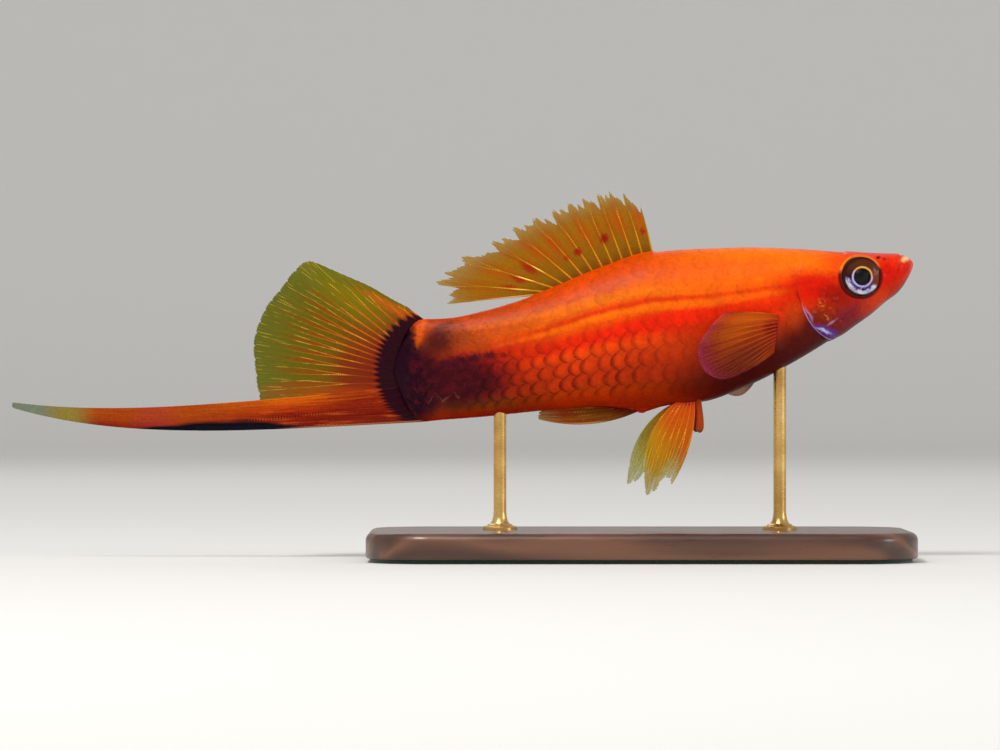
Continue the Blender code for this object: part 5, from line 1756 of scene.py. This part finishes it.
def sword_finish(name, fact):
    """The sword's finish: orange above, red in the middle, black below and pale at the tip, with a painted
    highlight along the lower edge near its root.
    """
    f = Finish(name, Roughness=0.48, Coat_Weight=0.02, Coat_Roughness=0.18, Specular_IOR_Level=0.06)
    at, s, _ = f.fact(fact)
    place = f.place()
    x, _, z = f.parts(place)
    cloud = f.noise(f.vectors("MULTIPLY", place, (0.25, 1.0, 1.4)), 1.0, 3.0)
    shift = f.maths("MULTIPLY_ADD", f.maths("SUBTRACT", cloud, 0.5), 0.14, at)
    root = f.ramp(
        shift,
        ((0.0, (150, 50, 2)), (0.2, (134, 30, 2)), (0.5, (112, 16, 2)), (0.7, (128, 36, 2)), (0.95, (122, 12, 4))),
    )
    middle = f.ramp(
        shift,
        ((0.0, (206, 96, 0)), (0.14, (188, 70, 0)), (0.3, (150, 36, 0)), (0.5, (132, 26, 0)), (0.95, (100, 8, 4))),
    )
    far = f.mixed(f.ranged(shift, 0.2, 0.9), (164, 66, 4), (134, 34, 4))
    colour = f.mixed(f.ranged(x, -30.5, -37.0), root, middle)
    colour = f.mixed(f.ranged(x, -38.0, -50.0), colour, far)
    lines = f.ranged(f.maths("SINE", f.maths("MULTIPLY", at, 34 * math.pi)), 0.2, 0.95)
    faint = f.ranged(f.noise(f.vectors("MULTIPLY", place, (0.5, 1.0, 2.0)), 1.0, 3.0), 0.4, 0.6)
    colour = f.mixed(f.maths("MULTIPLY", lines, f.maths("MULTIPLY", faint, 0.4)), colour, (96, 14, 6))
    streaks = f.noise(f.combined(f.maths("MULTIPLY", x, 0.16), f.maths("MULTIPLY", at, 15.0)), 1.0, 4.0)
    dim = f.maths("MULTIPLY", f.ranged(streaks, 0.48, 0.36, 0.0, 0.5), f.ranged(x, -46.0, -34.0, 0.4, 1.0))
    colour = f.mixed(dim, colour, (84, 8, 2))
    warm = f.maths("MULTIPLY", f.ranged(streaks, 0.54, 0.66, 0.0, 0.6), f.ranged(x, -52.0, -44.0))
    colour = f.mixed(warm, colour, (196, 84, 8))
    tint = f.maths("MULTIPLY", f.ranged(x, -50.0, -53.0), f.ranged(x, -57.0, -54.0))
    colour = f.mixed(f.maths("MULTIPLY", tint, 0.22), colour, (160, 30, 60))
    top = f.levels(
        f.ranged(x, -56.0, -36.0, smooth=False),
        ((0.02, 1.0), (0.14, 0.74), (0.34, 0.50), (0.62, 0.46), (0.76, 0.56), (0.90, 0.80), (1.0, 1.0)),
    )
    black = f.ranged(f.maths("SUBTRACT", shift, top), -0.06, 0.13)
    colour = f.mixed(black, colour, (2, 0, 14))
    pale = f.ranged(x, -59.5, -63.0)
    tip = f.mixed(f.ranged(x, -63.5, -67.0), (134, 116, 50), (112, 122, 100))
    colour = f.mixed(pale, colour, tip)
    dots = f.maths("MULTIPLY", f.ranged(x, -52.0, -46.0), f.ranged(x, -31.0, -36.0))
    row = f.maths("MULTIPLY_ADD", x, -0.012, -0.02)
    band = f.ranged(f.maths("ABSOLUTE", f.maths("SUBTRACT", at, row)), 0.055, 0.03)
    dotted = f.ranged(f.maths("SINE", f.maths("MULTIPLY", x, 20.0)), -0.4, 0.6)
    dotted = f.maths("MULTIPLY", dots, f.maths("MULTIPLY", band, dotted))
    dotted = f.maths("MULTIPLY", dotted, f.ranged(cloud, 0.4, 0.55, 0.3, 1.0))
    colour = f.mixed(f.maths("MULTIPLY", dotted, 0.8), colour, (44, 4, 6))
    grain = f.noise(place, 4.0, 3.0)
    shade = f.ranged(grain, 0.3, 0.7, 0.86, 1.14, smooth=False)
    colour = f.mixed(1.0, colour, f.combined(shade, shade, shade), "MULTIPLY")
    colour = comb_of_dark(f, colour, (x, None, z), at)
    # Painted highlight: a pale line along the lower edge near the root.
    lower_edge_highlight = f.maths("MULTIPLY", f.ranged(at, 0.985, 1.0), f.ranged(x, -40.0, -36.0))
    colour = f.mixed(f.maths("MULTIPLY", lower_edge_highlight, 0.6), colour, (186, 120, 76))
    f.put(colour, f.shader.inputs["Base Color"])
    f.bumped(grain, 0.3, 0.03)
    return f.material


def build_stand():
    walnut, brass, felt = walnut_finish(), brass_finish(), felt_finish()
    kept(board("stand_board", BASE_LONG, BASE_WIDE, BASE_CORNER, 0.45, BASE_THICK, 0.9, walnut), "base_wood", "stand_base")
    kept(board("stand_felt", BASE_LONG - 1.2, BASE_WIDE - 1.2, BASE_CORNER - 0.6, 0.0, 0.47, 0.1, felt), "base_wood", "stand_base")
    for x, word in ((ROD_FRONT_X, "front"), (ROD_REAR_X, "rear")):
        top = float(BELLY(x)) + 1.4
        rod = turned(f"stand_rod_{word}_brass", x, float(bend(x)), rod_profile(top), brass)
        kept(rod, "rod_metal", f"stand_rod_{word}")


def area_light(name, where, aim, size, power, colour=(1.0, 1.0, 1.0)):
    light = bpy.data.lights.new(name, "AREA")
    light.shape = "DISK"
    light.size = size
    light.energy = power
    light.color = colour
    obj = bpy.data.objects.new(name, light)
    obj.location = where
    obj.rotation_euler = (Vector(aim) - Vector(where)).to_track_quat("-Z", "Y").to_euler()
    bpy.context.scene.collection.objects.link(obj)


def build_studio():
    """A pale floor that sweeps up behind, soft lamps and the camera."""
    finish = Finish("studio_paper", Roughness=0.9)
    finish.shader.inputs["Base Color"].default_value = tone(230, 229, 226)
    path = [(-2.0, 0.0), (0.95, 0.0)]
    path += [(0.95 + 0.25 * math.sin(a), 0.25 - 0.25 * math.cos(a)) for a in np.linspace(0.1, math.pi / 2, 14)]
    path += [(1.20, 1.6)]
    points, faces = [], []
    for y, z in path:
        points += [(-1400.0, y / MM, z / MM), (1400.0, y / MM, z / MM)]
    for i in range(len(path) - 1):
        faces.append((2 * i, 2 * i + 1, 2 * i + 3, 2 * i + 2))
    floor = mesh_object("studio_floor", points, faces)
    floor.data.materials.append(finish.material)
    aim = (-0.015, 0.0, 0.020)
    area_light("key", (-0.16, -0.30, 0.44), aim, 0.16, 1.75, (1.0, 0.98, 0.95))
    area_light("fill", (0.62, -0.30, 0.20), aim, 0.22, 0.9)
    area_light("back", (-0.10, 0.50, 0.40), aim, 0.30, 0.35)
    world = bpy.data.worlds.new("studio")
    bpy.context.scene.world = world
    world.use_nodes = True
    world.node_tree.nodes["Background"].inputs["Color"].default_value = (1.0, 1.0, 1.0, 1.0)
    world.node_tree.nodes["Background"].inputs["Strength"].default_value = 0.56
    lens = bpy.data.cameras.new("camera")
    lens.lens, lens.sensor_width, lens.clip_start, lens.clip_end = 200.0, 36.0, 0.01, 10.0
    camera = bpy.data.objects.new("camera", lens)
    camera.location = (-0.0154, -0.6116, 0.02035)
    camera.rotation_euler = (math.pi / 2, 0.0, 0.0)
    bpy.context.scene.collection.objects.link(camera)
    bpy.context.scene.camera = camera
    bpy.context.scene.view_settings.view_transform = "Standard"


MARKINGS = markings_group()
RAY_TREE = branching_rays()
build_fish()
build_fins()
build_stand()
build_studio()
